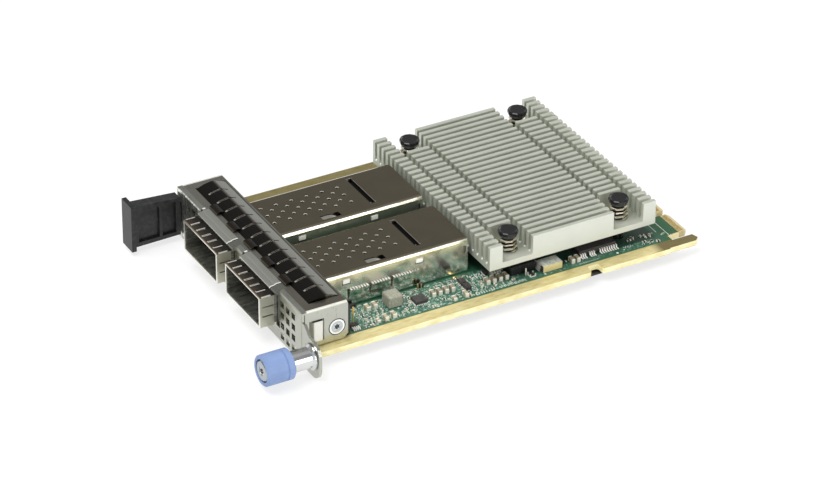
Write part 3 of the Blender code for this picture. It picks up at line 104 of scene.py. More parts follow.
class Nodes:
    """Builds one material's node tree."""

    names = {"color": "Base Color", "rough": "Roughness", "metal": "Metallic", "coat": "Coat Weight",
             "coat_rough": "Coat Roughness", "specular": "Specular IOR Level"}

    def __init__(self, name):
        self.mat = bpy.data.materials.new(name)
        self.mat.use_nodes = True
        self.tree = self.mat.node_tree
        self.shader = self.tree.nodes["Principled BSDF"]

    def add(self, kind, **values):
        node = self.tree.nodes.new(kind)
        for key, value in values.items():
            setattr(node, key, value)
        return node

    def link(self, a, b):
        self.tree.links.new(a, b)

    def put(self, socket, value):
        """Links a node's output to the socket, or sets the socket to a number or a colour."""
        if isinstance(value, bpy.types.NodeSocket):
            self.link(value, socket)
        elif isinstance(value, tuple):
            socket.default_value = (*value, 1.0)
        else:
            socket.default_value = value

    def set(self, **values):
        for key, value in values.items():
            self.put(self.shader.inputs[self.names[key]], value)

    def card(self):
        """Position on the card, in mm."""
        coords = self.add("ShaderNodeTexCoord")
        node = self.add("ShaderNodeVectorMath", operation="MULTIPLY_ADD")
        self.link(coords.outputs["Object"], node.inputs[0])
        node.inputs[1].default_value = (1 / MM,) * 3
        node.inputs[2].default_value = ORIGIN
        return node.outputs[0]

    def split(self, vector):
        node = self.add("ShaderNodeSeparateXYZ")
        self.link(vector, node.inputs[0])
        return node.outputs

    def scaled(self, vector, scale):
        node = self.add("ShaderNodeVectorMath", operation="MULTIPLY")
        self.link(vector, node.inputs[0])
        node.inputs[1].default_value = scale
        return node.outputs[0]

    def math(self, operation, a, b=0.0, clamp=False):
        node = self.add("ShaderNodeMath", operation=operation, use_clamp=clamp)
        for socket, value in zip(node.inputs, (a, b)):
            self.put(socket, value)
        return node.outputs[0]

    def plus(self, a, b, clamp=False):
        return self.math("ADD", a, b, clamp)

    def minus(self, a, b):
        return self.math("SUBTRACT", a, b)

    def share(self, a, b):
        """a as a share of b, kept between 0 and 1."""
        return self.math("DIVIDE", a, b, clamp=True)

    def times(self, *values):
        result = values[0]
        for value in values[1:]:
            result = self.math("MULTIPLY", result, value)
        return result

    def most(self, *values):
        result = values[0]
        for value in values[1:]:
            result = self.math("MAXIMUM", result, value)
        return result

    def more(self, a, b):
        return self.math("GREATER_THAN", a, b)

    def less(self, a, b):
        return self.math("LESS_THAN", a, b)

    def above(self, value, edge, soft=0.02):
        """0 below the edge, 1 above it."""
        return self.share(self.minus(value, edge), soft)

    def band(self, value, low, high, soft=0.02):
        """1 between low and high, 0 outside."""
        away = self.math("ABSOLUTE", self.minus(value, (low + high) / 2))
        return self.share(self.minus((high - low) / 2, away), soft)

    def port_offset(self, x):
        """x from the middle of the nearer port."""
        return self.minus(self.plus(x, -PORTS[0]), self.times(self.more(x, PORT_MIDDLE), PORT_PITCH))

    def noise(self, vector, scale, detail=3.0, rough=0.5):
        node = self.add("ShaderNodeTexNoise")
        for key, value in (("Vector", vector), ("Scale", scale), ("Detail", detail),
                           ("Roughness", rough)):
            self.put(node.inputs[key], value)
        return node.outputs["Fac"]

    def grain(self, card, stretch):
        """Fine brush marks, which run along the axis with the smallest stretch."""
        return self.noise(self.scaled(card, stretch), 6.0, 4.0, 0.6)

    def cloud(self, card, scale=0.11):
        return self.noise(card, scale, 3.0, 0.55)

    def cells(self, vector, scale, metric="EUCLIDEAN"):
        node = self.add("ShaderNodeTexVoronoi", distance=metric)
        self.link(vector, node.inputs["Vector"])
        node.inputs["Scale"].default_value = scale
        return node.outputs

    def ramp(self, factor, stops, steps=False):
        node = self.add("ShaderNodeValToRGB")
        self.link(factor, node.inputs[0])
        if steps:
            node.color_ramp.interpolation = "CONSTANT"
        fill_ramp(node.color_ramp, stops)
        return node.outputs[0]

    def mix(self, factor, a, b):
        node = self.add("ShaderNodeMix", data_type="RGBA")
        self.put(node.inputs["Factor"], factor)
        for key, value in (("A", a), ("B", b)):
            self.put([s for s in node.inputs if s.name == key and s.type == "RGBA"][0], value)
        return [s for s in node.outputs if s.type == "RGBA"][0]

    def varied(self, factor, color, shade):
        """The colour, darkened and lightened by up to a share of it."""
        return self.mix(factor, tuple(c * (1 - shade) for c in color),
                        tuple(min(1.0, c * (1 + shade)) for c in color))

    def uneven(self, base, spread, *noises):
        """A base value plus a share of the sum of some noises."""
        total = noises[0]
        for value in noises[1:]:
            total = self.plus(total, value)
        return self.plus(base, self.times(total, spread))

    def bump(self, height, strength, distance):
        """Bumps of the given height in mm."""
        node = self.add("ShaderNodeBump")
        self.link(height, node.inputs["Height"])
        node.inputs["Strength"].default_value = strength
        node.inputs["Distance"].default_value = distance * MM
        self.link(node.outputs[0], self.shader.inputs["Normal"])


def fill_ramp(ramp, stops):
    """Gives a colour ramp its stops, each a place and a colour."""
    while len(ramp.elements) < len(stops):
        ramp.elements.new(0.5)
    for element, (place, color) in zip(ramp.elements, stops):
        element.position = place
        element.color = (*color, 1.0)


def brushed(name, color, rough, stretch=(1.0, 1.0, 1.0), metal=1.0):
    """Sheet or machined metal with a fine directional grain and cloudy variation."""
    n = Nodes(name)
    card = n.card()
    fine = n.grain(card, stretch)
    cloud = n.cloud(card)
    n.set(color=n.varied(cloud, color, 0.12), metal=metal,
          rough=n.uneven(rough - 0.04, 0.04, fine, cloud))
    n.bump(fine, 0.03, 0.04)
    return n.mat


def moulded(name, color, rough, bump=0.12, scale=9.0, specular=0.5):
    """Moulded plastic with a fine spark-eroded surface and slight unevenness."""
    n = Nodes(name)
    card = n.card()
    fine = n.noise(card, scale, 2.0, 0.6)
    n.set(color=n.varied(n.noise(card, 0.2, 2.0), color, 0.14), metal=0.0, specular=specular,
          rough=n.uneven(rough - 0.06, 0.12, fine))
    n.bump(fine, bump, 0.03)
    return n.mat


def board_material():
    """Green solder mask over copper, crowded beside the ports, with gilded guide edges and tongue."""
    n = Nodes("laminate_face")
    card = n.card()
    x, y, z = n.split(card)
    across = n.math("ABSOLUTE", x)
    flat = n.scaled(card, (1.0, 1.0, 0.0))

    # The mask over its traces, with a painted shadow under the heatsink
    traces = n.add("ShaderNodeTexBrick", offset=0.37)
    for key, value in (("Vector", flat), ("Scale", 0.62), ("Mortar Size", 0.03), ("Brick Width", 1.9),
                       ("Row Height", 0.30), ("Color1", (0.030, 0.125, 0.062)),
                       ("Color2", (0.022, 0.100, 0.050)), ("Mortar", (0.012, 0.060, 0.032))):
        n.put(traces.inputs[key], value)
    cloud = n.noise(card, 0.35, 3.0)
    mask = n.mix(n.times(cloud, 0.5), traces.outputs["Color"], (0.016, 0.080, 0.042))
    mask = n.mix(n.times(n.above(y, 107.6, 1.0), 0.8), mask, (0.016, 0.084, 0.028))
    sink_shadow = n.times(n.share(n.minus(31.9, across), 1.0), n.band(y, 57.0, 107.2, 0.8))
    mask = n.mix(n.times(sink_shadow, 0.75), mask, (0.006, 0.022, 0.013))

    # Pads and vias on the crowded strips
    square = n.cells(n.scaled(flat, (1.0, 1.35, 1.0)), 2.1, "CHEBYCHEV")
    speckle = n.ramp(n.split(square["Color"])[0],
                     [(0.0, (0.020, 0.085, 0.048)), (0.34, (0.045, 0.150, 0.098)),
                      (0.58, (0.110, 0.260, 0.190)), (0.76, (0.28, 0.43, 0.35)),
                      (0.88, (0.62, 0.68, 0.62)), (0.95, (0.03, 0.035, 0.03))], steps=True)
    busy = n.times(n.band(across, 22.9, 33.7, 0.3), n.band(y, 14.0, 67.0, 3.0), n.above(z, -0.05))
    thin = n.times(n.band(across, 31.2, 33.9, 0.4), n.band(y, 66.0, 107.0, 3.0))
    mask = n.mix(n.plus(n.times(busy, 0.75), n.times(thin, 0.3), clamp=True), mask, speckle)
    via = n.band(n.cells(flat, 0.75)["Distance"], 0.03, 0.09)
    mask = n.mix(n.times(via, 0.45), mask, (0.45, 0.50, 0.40))

    # Gilded guide edges, with painted shade on the far side and on the arms
    blotch = n.noise(n.scaled(card, (1.6, 0.35, 1.0)), 0.75, 4.0, 0.6)
    gold = n.ramp(blotch, [(0.28, (0.56, 0.43, 0.15)), (0.46, (0.70, 0.60, 0.28)),
                           (0.72, (0.80, 0.72, 0.40))])
    gold = n.mix(n.times(n.less(x, 0.0), 0.85), gold,
                 n.mix(blotch, (0.105, 0.080, 0.021), (0.24, 0.20, 0.065)))
    rail = n.more(across, 34.2)
    color = n.mix(rail, mask, gold)
    color = n.mix(n.times(rail, n.above(y, 102.5, 3.0), 0.9), color, (0.125, 0.096, 0.025))

    # The tongue's rim, and the laminate's cut edge
    grain = n.noise(card, 1.9, 4.0, 0.75)
    right_rim = n.times(n.above(y, 110.7), n.more(x, 31.9))
    rim = n.times(n.most(n.above(y, 113.35), right_rim), n.less(across, 33.5))
    color = n.mix(rim, color, n.ramp(grain, [(0.36, (0.40, 0.28, 0.10)), (0.52, (0.66, 0.52, 0.26)),
                                             (0.64, (0.82, 0.72, 0.46))]))
    side = n.band(z, -1.57, -0.03, 0.01)
    edge = n.ramp(n.noise(n.scaled(card, (0.5, 0.5, 1.2)), 0.6, 3.0),
                  [(0.35, (0.72, 0.64, 0.32)), (0.65, (0.86, 0.80, 0.48))])
    edge = n.mix(n.times(n.more(y, 113.4), n.less(across, 34.0)), edge, (0.50, 0.42, 0.22))

    shine = n.times(n.most(rail, rim), n.minus(1.0, side))
    n.set(color=n.mix(side, color, edge), metal=n.times(shine, 0.45), rough=n.uneven(0.40, 0.12, side),
          coat=0.08, coat_rough=0.25)
    n.bump(n.plus(traces.outputs["Fac"], n.times(n.noise(card, 5.0, 2.0), 0.3)), 0.10, 0.03)
    return n.mat


def faceplate_material():
    """Satin sheet with painted reflections; the hoods' rolled right ends and curled left ends carry
    painted highlights, and their relieved left ends painted shade.
    """
    n = Nodes("bracket_satin")
    card = n.card()
    x, y, z = n.split(card)
    fine = n.grain(card, (0.3, 3.0, 1.0))
    cloud = n.cloud(card)

    # The flange, painted darker than the front and browner to the right as painted reflection, and
    # painted highlights on the folds at its ends
    tone = n.mix(cloud, (0.43, 0.440, 0.385), (0.54, 0.552, 0.490))
    flange = n.times(n.above(z, 10.9, 0.05), n.more(y, 1.5))
    tone = n.mix(flange, tone, n.mix(cloud, (0.31, 0.305, 0.260), (0.42, 0.420, 0.365)))
    warm_reflection = n.times(flange, n.share(n.minus(x, 8.0), 32.0))
    tone = n.mix(warm_reflection, tone, n.mix(cloud, (0.20, 0.175, 0.135), (0.29, 0.265, 0.215)))
    fold_highlight = n.times(n.band(n.math("ABSOLUTE", x), 34.35, 35.15, 0.1), n.above(z, 10.55, 0.05),
                   n.above(y, 1.4, 0.1))
    tone = n.mix(fold_highlight, tone, (0.88, 0.88, 0.81))

    # Painted reflections as bright streaks on the front's left end, and brown scuffs
    reflection_streak = n.noise(n.scaled(card, (1.1, 0.3, 0.25)), 1.4, 3.0, 0.6)
    corner = n.times(n.less(x, -21.0), n.less(y, 0.9), n.less(z, 10.6))
    tone = n.mix(n.times(corner, n.above(reflection_streak, 0.50, 0.08)), tone, (0.98, 0.98, 0.92))
    scuff = n.noise(n.scaled(card, (0.25, 2.2, 0.25)), 1.3, 5.0, 0.75)
    worn = n.uneven(0.35, 0.45, n.less(x, -23.5))
    tone = n.mix(n.times(n.above(scuff, 0.58, 0.05), worn), tone, (0.20, 0.145, 0.095))

    # The hoods: painted pale as light on their forward slope, darker past the rolled right end, with
    # painted highlights on the crease along the front, the rolled right end and the curled left one, and
    # painted shade in the left notch and in a line beside the rolled end
    local = n.port_offset(x)
    hood = n.times(n.less(y, 2.3), n.above(z, 9.0, 0.05))
    tone = n.mix(n.times(hood, n.band(local, -9.9, 9.9, 0.1)), tone, (0.66, 0.67, 0.60))
    beyond = n.times(hood, n.above(local, 7.3, 0.2), n.less(local, 10.0))
    tone = n.mix(beyond, tone, (0.33, 0.335, 0.29))
    # A painted highlight on the rolled right end
    roll = n.times(hood, n.band(local, 6.5, 7.0, 0.1))
    tone = n.mix(roll, tone, (0.93, 0.93, 0.87))
    crease_highlight = n.times(hood, n.band(y, 0.45, 0.62, 0.08), n.band(local, -9.6, 6.5, 0.3))
    tone = n.mix(crease_highlight, tone, (0.80, 0.80, 0.73))
    curl_highlight = n.times(n.band(y, 0.75, 1.7, 0.1), n.above(z, 10.6, 0.05), n.band(local, -10.9, -10.2, 0.1))
    tone = n.mix(curl_highlight, tone, (0.95, 0.95, 0.90))
    notch_shade = n.times(n.less(y, 0.75), n.above(z, 10.2, 0.05), n.band(local, -10.6, -10.0, 0.05))
    shade_lines = n.most(n.times(hood, n.band(local, 7.02, 7.36, 0.05)), notch_shade)

    n.set(color=n.mix(shade_lines, tone, (0.05, 0.045, 0.035)),
          metal=n.minus(1.0, n.times(n.most(fold_highlight, curl_highlight, roll), 0.5)),
          rough=n.uneven(0.27, 0.05, fine, cloud))
    n.bump(fine, 0.05, 0.04)
    return n.mat


def strip_material():
    """Spring sheet with painted shade on its front slope and painted highlights along its front edge and
    at the edges of its slits.
    """
    n = Nodes("finger_sheet")
    card = n.card()
    x, y, _ = n.split(card)
    # Painted light and shade across the strip: a bright front edge, a dark front slope, a lighter rear
    slope = n.ramp(n.math("DIVIDE", n.minus(y, 2.4), 10.0),
                   [(0.0, (0.50, 0.45, 0.35)), (0.022, (0.30, 0.26, 0.19)), (0.04, (0.05, 0.042, 0.032)),
                    (0.12, (0.050, 0.040, 0.030)), (0.17, (0.024, 0.023, 0.019)),
                    (0.60, (0.022, 0.021, 0.018)), (0.63, (0.10, 0.07, 0.045)),
                    (0.67, (0.25, 0.25, 0.22)), (1.0, (0.34, 0.34, 0.31))])
    finger_pitch = 4.831
    first_slit = -31.4
    turn = n.math("FRACT", n.math("DIVIDE", n.minus(x, first_slit), finger_pitch))
    away = n.times(n.math("MINIMUM", turn, n.minus(1.0, turn)), finger_pitch)
    slit_highlights = n.times(n.less(away, 0.29), n.band(y, 5.0, 8.5, 0.1), n.less(n.math("ABSOLUTE", x), 31.0))
    fine = n.noise(n.scaled(card, (4.0, 0.4, 1.0)), 4.0, 3.0)
    color = n.mix(n.times(fine, 0.4), slope, (0.05, 0.045, 0.04))
    n.set(color=n.mix(slit_highlights, color, (0.85, 0.80, 0.70)), metal=1.0, rough=n.uneven(0.26, 0.12, fine))
    n.bump(fine, 0.04, 0.03)
    return n.mat


def cage_material():
    """Bright folded sheet with painted reflections on its walls, whose roof carries a brown tone painted
    darker as shade; the louvres' top edges are serrated.
    """
    n = Nodes("cage_sheet")
    card = n.card()
    x, y, z = n.split(card)
    fine = n.grain(card, (2.5, 0.2, 1.0))
    cloud = n.cloud(card, 0.16)
    local = n.port_offset(x)
    flank = n.math("ABSOLUTE", local)

    # The side walls with painted reflections, painted shade between the two cages, and the roof's brown
    # tone painted darker as shade
    wall_reflections = n.ramp(n.noise(n.scaled(card, (1.0, 0.9, 1.3)), 0.22, 2.0),
                   [(0.36, (0.50, 0.49, 0.44)), (0.50, (0.82, 0.81, 0.74)), (0.75, (0.90, 0.89, 0.82))])
    inner = n.times(n.band(x, -2.9, -0.5, 0.05), n.less(z, 8.9))
    color = n.mix(inner, wall_reflections, n.mix(cloud, (0.22, 0.25, 0.19), (0.36, 0.39, 0.31)))
    roof = n.mix(cloud, (0.283, 0.246, 0.170), (0.332, 0.287, 0.203))
    color = n.mix(n.above(z, 9.79, 0.06), color, roof)

    # The cut edges inside the roof carry painted light: painted highlights on the vents', a dimmer
    # painted light on the rear slot's wall
    cut = n.times(n.band(z, 9.70, 9.99, 0.01), n.less(flank, 8.6))
    lit_slot_wall = n.times(cut, n.band(y, 39.0, 46.0))
    color = n.mix(lit_slot_wall, color, (0.50, 0.46, 0.40))
    lance = n.times(n.band(local, 4.6, 9.0), n.band(y, 24.5, 34.0))
    rim_highlights = n.times(cut, n.less(y, 38.5), n.minus(1.0, lance))

    # A painted highlight on the cover's lower bend, and the louvres' serrated edges
    bend_highlight = n.times(n.band(z, 8.95, 9.64, 0.08), n.more(flank, 8.9), n.more(y, 5.0))
    color = n.mix(n.times(bend_highlight, 0.8), color, (0.66, 0.64, 0.42))
    tooth = n.more(n.math("FRACT", n.math("DIVIDE", y, 0.78)), 0.42)
    crest = n.times(n.band(z, 4.72, 5.2, 0.03), n.band(y, 19.5, 40.5, 0.1))
    color = n.mix(crest, color, n.mix(tooth, (0.17, 0.17, 0.14), (0.80, 0.79, 0.71)))
    color = n.mix(rim_highlights, color, (0.76, 0.75, 0.68))

    dull = n.most(n.times(crest, 0.6), rim_highlights, n.times(inner, 0.28), n.times(lit_slot_wall, 0.7))
    n.set(color=color, metal=n.minus(1.0, dull), rough=n.uneven(0.13, 0.05, fine, cloud))
    n.bump(fine, 0.03, 0.04)
    return n.mat


def lining_material():
    """The cages' inner tube: painted shade and painted reflection streaks inside the port, with painted
    highlights on the latches at its flanks.
    """
    n = Nodes("port_lining")
    card = n.card()
    x, y, z = n.split(card)
    fine = n.grain(card, (0.3, 2.5, 0.3))
    reflection_streak = n.noise(n.scaled(card, (0.9, 0.25, 1.6)), 1.1, 4.0, 0.7)
    tone = n.ramp(reflection_streak, [(0.34, (0.15, 0.15, 0.13)), (0.52, (0.30, 0.30, 0.265)),
                           (0.70, (0.52, 0.51, 0.45))])
    row = n.most(n.band(y, 18.3, 20.8, 0.05), n.band(y, 39.5, 41.9, 0.05))
    latch_highlight = n.times(row, n.band(z, 7.0, 8.8, 0.05), n.more(n.math("ABSOLUTE", n.port_offset(x)), 9.0))
    n.set(color=n.mix(latch_highlight, tone, (0.96, 0.95, 0.86)), metal=n.minus(0.9, n.times(latch_highlight, 0.8)),
          rough=n.uneven(0.34, 0.10, fine))
    n.bump(fine, 0.08, 0.04)
    return n.mat


def tab_material():
    """Black moulding with mottled, slightly worn faces."""
    n = Nodes("tab_moulding")
    card = n.card()
    mottle = n.noise(card, 0.9, 5.0, 0.7)
    fine = n.noise(card, 7.0, 2.0, 0.6)
    tone = n.ramp(mottle, [(0.38, (0.006, 0.006, 0.0065)), (0.52, (0.013, 0.0135, 0.014)),
                           (0.68, (0.030, 0.031, 0.031))])
    n.set(color=tone, metal=0.0, specular=0.4, rough=n.uneven(0.30, 0.20, mottle))
    n.bump(n.plus(mottle, n.times(fine, 0.4)), 0.35, 0.06)
    return n.mat


def heatsink_material():
    """Satin aluminium with painted light: painted highlights on the saw-cut top edges and the gaps'
    floors, and the outer side painted lighter.
    """
    n = Nodes("extruded_aluminium")
    card = n.card()
    x, y, z = n.split(card)
    fine = n.grain(card, (3.0, 0.12, 3.0))
    cloud = n.cloud(card)
    fin_top = 11.03
    # Painted light: fin sides and floors lighter than the tops, a painted highlight on the top edges,
    # the outer side painted lighter
    tone = n.mix(cloud, (0.47, 0.492, 0.420), (0.58, 0.602, 0.520))
    tone = n.mix(n.less(z, fin_top), tone, n.mix(cloud, (0.53, 0.553, 0.478), (0.64, 0.664, 0.580)))
    tone = n.mix(n.band(z, fin_top, 11.14, 0.01), tone, (0.86, 0.88, 0.80))
    outer = n.more(n.math("ABSOLUTE", n.plus(x, 0.15)), 31.2)
    tone = n.mix(outer, tone, n.mix(cloud, (0.60, 0.625, 0.555), (0.72, 0.745, 0.665)))

    # A painted highlight, a bright dot, at the foot of each gap between the fins
    fin_pitch = 61.35 / 26
    first_fin = -31.4
    gap = n.times(n.math("FRACT", n.math("DIVIDE", n.minus(x, first_fin), fin_pitch)), fin_pitch)
    ends = n.most(n.less(y, 57.0), n.band(y, 69.0, 69.6, 0.1))
    dot = n.times(n.band(gap, 1.42, 2.10, 0.1), n.band(z, 5.55, 6.3, 0.1), ends)
    n.set(color=n.mix(dot, tone, (0.95, 0.95, 0.93)), metal=n.minus(0.50, n.times(dot, 0.50)),
          rough=n.uneven(0.36, 0.07, fine, cloud))
    n.bump(fine, 0.06, 0.04)
    return n.mat


def gritty(name, scale, stops, rough, bump, distance):
    """A pressed or moulded package with a mottled face."""
    n = Nodes(name)
    grit = n.noise(n.card(), scale, 4.0, 0.7)
    n.set(color=n.ramp(grit, stops), rough=rough, specular=0.35)
    n.bump(grit, bump, distance)
    return n.mat


def collar_material():
    """Sprung collar round a port: brown-dark painted shade on top, deepest toward the hood, with painted
    highlights on the slit edges, pale at its sides.
    """
    n = Nodes("collar_sheet")
    card = n.card()
    x, y, z = n.split(card)
    fine = n.noise(n.scaled(card, (0.6, 3.0, 3.0)), 3.0, 3.0)
    side = n.mix(fine, (0.50, 0.49, 0.40), (0.66, 0.65, 0.55))
    # Painted shade on top, deepest toward the hood
    depth = n.share(n.plus(y, 5.2), 2.6)
    top = n.mix(depth, (0.120, 0.094, 0.068), (0.016, 0.015, 0.012))
    top = n.mix(n.times(fine, 0.5), top, (0.060, 0.046, 0.034))
    half_width = 9.49
    pitch = 2 * half_width / 6
    local = n.minus(n.math("ABSOLUTE", n.minus(x, PORT_MIDDLE)), PORT_PITCH / 2)
    turn = n.math("FRACT", n.math("DIVIDE", n.plus(local, half_width + pitch / 2), pitch))
    away = n.times(n.math("ABSOLUTE", n.minus(turn, 0.5)), pitch)
    slit_highlights = n.times(n.less(away, 0.34), n.band(y, -4.7, -2.0, 0.1))
    top = n.mix(slit_highlights, top, (0.98, 0.95, 0.85))
    roof = n.above(z, 9.72)
    front = n.less(y, -5.0)
    color = n.mix(front, n.mix(roof, side, top), n.mix(roof, (0.90, 0.88, 0.80), (0.42, 0.35, 0.27)))
    n.set(color=color, metal=0.8, rough=0.30)
    n.bump(fine, 0.05, 0.04)
    return n.mat


def screw_material():
    """Plated flat heads: a grey disc in a turned rim with a painted highlight, and painted shade where
    the head meets the sheet.
    """
    n = Nodes("screw_head")
    card = n.card()
    _, y, z = n.split(card)
    radius = n.math("SQRT", n.plus(n.math("POWER", n.minus(y, SIDE_SCREW_Y), 2.0),
                                   n.math("POWER", n.minus(z, SIDE_SCREW_Z), 2.0)))
    fine = n.noise(n.scaled(card, (1.0, 2.0, 2.0)), 5.0, 3.0)
    disc = n.mix(fine, (0.40, 0.44, 0.45), (0.58, 0.62, 0.62))
    color = n.mix(n.above(radius, 1.62, 0.06), disc, (0.88, 0.90, 0.88))
    color = n.mix(n.above(radius, 2.12, 0.05), color, (0.05, 0.055, 0.055))
    n.set(color=color, metal=0.7, rough=0.28)
    n.bump(fine, 0.05, 0.03)
    return n.mat


def can_material():
    """The oscillator's can: grey mottled lid, golden flank toward the board's edge, painted shade on its
    front.
    """
    n = Nodes("can_lid")
    card = n.card()
    x, y, z = n.split(card)
    grit = n.noise(card, 1.6, 4.0, 0.6)
    lid = n.ramp(grit, [(0.36, (0.37, 0.39, 0.34)), (0.62, (0.62, 0.65, 0.57))])
    below_lid = n.less(z, 2.02)
    color = n.mix(n.times(n.above(x, 32.66), below_lid), lid,
                  n.mix(grit, (0.56, 0.46, 0.20), (0.80, 0.70, 0.36)))
    # Painted shade on the front below the lid
    color = n.mix(n.times(n.less(y, 71.66), below_lid), color, (0.055, 0.045, 0.035))
    n.set(color=color, metal=0.25, rough=0.45)
    n.bump(grit, 0.10, 0.04)
    return n.mat


MATS = {
    "laminate": board_material(),
    "bracket_steel": faceplate_material(),
    "cage_steel": cage_material(),
    "spring_steel": brushed("spring_wire_steel", (0.66, 0.60, 0.48), 0.20),
    "screw_steel": brushed("plated_steel", (0.72, 0.73, 0.72), 0.20, (1.0, 1.0, 3.0)),
    "heatsink_aluminium": heatsink_material(),
    "black_plastic": moulded("black_moulding", (0.009, 0.009, 0.0095), 0.24, 0.25, 3.0),
    "blue_plastic": moulded("blue_moulding", (0.185, 0.265, 0.465), 0.48, 0.2, specular=0.35),
    "insulator": moulded("film_sheet", (0.012, 0.012, 0.013), 0.35, 0.05),
    "chip_package": gritty("package_moulding", 3.4,
                           [(0.40, (0.022, 0.021, 0.021)), (0.56, (0.055, 0.050, 0.048)),
                            (0.70, (0.14, 0.12, 0.10))], 0.50, 0.12, 0.03),
    "ferrite": gritty("pressed_ferrite", 2.6,
                      [(0.35, (0.19, 0.19, 0.145)), (0.50, (0.29, 0.29, 0.225)),
                       (0.66, (0.39, 0.39, 0.32))], 0.55, 0.25, 0.05),
    "capacitor_ceramic": moulded("fired_ceramic", (0.29, 0.24, 0.16), 0.42, specular=0.4),
    "gap_pad": moulded("gap_pad_silicone", (0.40, 0.42, 0.45), 0.80),
    "can_steel": can_material(),
}
PORT = lining_material()
COLLAR = collar_material()
SCREW = screw_material()
OWN = {
    "contact_finger_strip": strip_material(),
    "pull_tab": tab_material(),
    "side_contact_leaf": brushed("leaf_sheet", (0.74, 0.74, 0.68), 0.30, (1.0, 3.0, 1.0), metal=0.8),
    "thumbscrew_screw": brushed("turned_head", (0.42, 0.45, 0.48), 0.28),
    **{f"cage_base_{word}": PORT for word in ("left", "right")},
    **{f"port_collar_{word}": COLLAR for word in ("left", "right")},
    **{f"side_screw_{word}": SCREW for word in ("left", "right")},
}
TONGUE = brushed("lanced_sheet", (0.17, 0.165, 0.14), 0.34, metal=0.2)
STAR = moulded("drive_shade", (0.045, 0.06, 0.062), 0.40)
GOLD = brushed("contact_gold", (0.86, 0.66, 0.28), 0.28, (1.0, 4.0, 1.0))
TIN = brushed("tinned_end", (0.86, 0.85, 0.75), 0.40, metal=0.45)
# A brighter, less metallic copy of the tin: painted light for leads in the heatsink's shade
LEADS = brushed("lit_lead_frame", (0.97, 0.95, 0.86), 0.35, metal=0.1)
SILK = moulded("legend_ink", (0.66, 0.72, 0.66), 0.55)
# Black bodies of small parts; the same dark also stands as painted shade under leads and beside posts
DARK = moulded("black_bodies_and_shade", (0.018, 0.016, 0.015), 0.55)
TAN = moulded("tan_ceramic", (0.40, 0.34, 0.22), 0.45, specular=0.4)

for row in frame["record"]["subparts"]:
    materials = nodes[row["node"]].data.materials
    materials.clear()
    materials.append(OWN.get(row["node"], MATS[row["material_slot"]]))


def soften(name, width):
    """A narrow rounding of a piece's hard edges, which catches the light."""
    mod = nodes[name].modifiers.new("edge_light", "BEVEL")
    mod.width = width * MM
    mod.segments = 1
    mod.limit_method = "ANGLE"
    mod.angle_limit = math.radians(40.0)
    mod.use_clamp_overlap = True


for name, width in (("faceplate", 0.07), ("heatsink", 0.10), ("pull_tab", 0.14),
                    ("port_collar_left", 0.03), ("port_collar_right", 0.03)):
    soften(name, width)


def mesh_of(bm, name):
    mesh = bpy.data.meshes.new(name)
    bm.to_mesh(mesh)
    bm.free()
    return mesh


def link(name, mesh, mat, body="root"):
    obj = bpy.data.objects.new(name, mesh)
    bpy.context.scene.collection.objects.link(obj)
    mesh.materials.append(mat)
    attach(obj, body)


def boxes(name, parts, mat, bevel=0.0):
    """One mesh of separate boxes, each given by its lowest and highest corners on the card."""
    bm = bmesh.new()
    for low, high in parts:
        low, high = at(*low), at(*high)
        place = Matrix.Translation((low + high) / 2) @ Matrix.Diagonal((*(high - low), 1.0))
        bmesh.ops.create_cube(bm, size=1.0, matrix=place)
    if bevel:
        bmesh.ops.bevel(bm, geom=bm.edges, offset=bevel * MM, segments=1, affect="EDGES")
    link(name, mesh_of(bm, name), mat)


def block(x, y, size, z=0.0):
    """The corners of a box standing on the board, from its middle and size."""
    return ((x - size[0] / 2, y - size[1] / 2, z), (x + size[0] / 2, y + size[1] / 2, z + size[2]))


def contact_pads():
    """The rows of contacts on both faces of the tongue."""
    left_margin, right_margin = 6.85, 2.35
    key_width = 1.7
    bare = 0.55                          # at each end of a bank
    banks = (14, 28, 14, 28)
    width = 2 * ARM_INNER - left_margin - right_margin
    pitch = (width - 3 * key_width - 2 * len(banks) * bare) / sum(banks)
    thick = 0.03
    top, under = [], []
    edge = ARM_INNER - right_margin
    for pads in banks:
        for k in range(pads):
            x = edge - bare - (k + 0.5) * pitch
            top.append(((x - 0.19, 113.5, 0.0), (x + 0.19, TONGUE_END, thick)))
            under.append(((x - 0.2, 112.1, BOARD_UNDER - thick), (x + 0.2, TONGUE_END, BOARD_UNDER)))
        edge -= pads * pitch + 2 * bare + key_width
    boxes("contact_pads_top", top, GOLD)
    boxes("contact_pads_under", under, GOLD)


MODELLED_CAPACITORS = [f"capacitor_{k}" for k in range(1, 11)]
# The single capacitors round them: middle, length, width and height
LOOSE_CAPACITORS = ((26.05, 23.45, 2.1, 1.1, 1.2), (25.85, 25.65, 2.1, 1.1, 1.2),
                    (32.35, 23.25, 1.5, 1.0, 0.7), (32.3, 25.45, 2.0, 1.1, 1.2),
                    (32.1, 27.85, 2.0, 1.1, 1.2), (32.5, 45.35, 1.7, 0.9, 0.8),
                    (32.25, 48.75, 2.1, 1.0, 1.2))
STRIP_BOXES = [card_box(name) for name in
               ("power_inductor", "controller_chip", "regulator_front", "regulator_rear",
                "board_connector", "oscillator", "memory_chip", *MODELLED_CAPACITORS)]


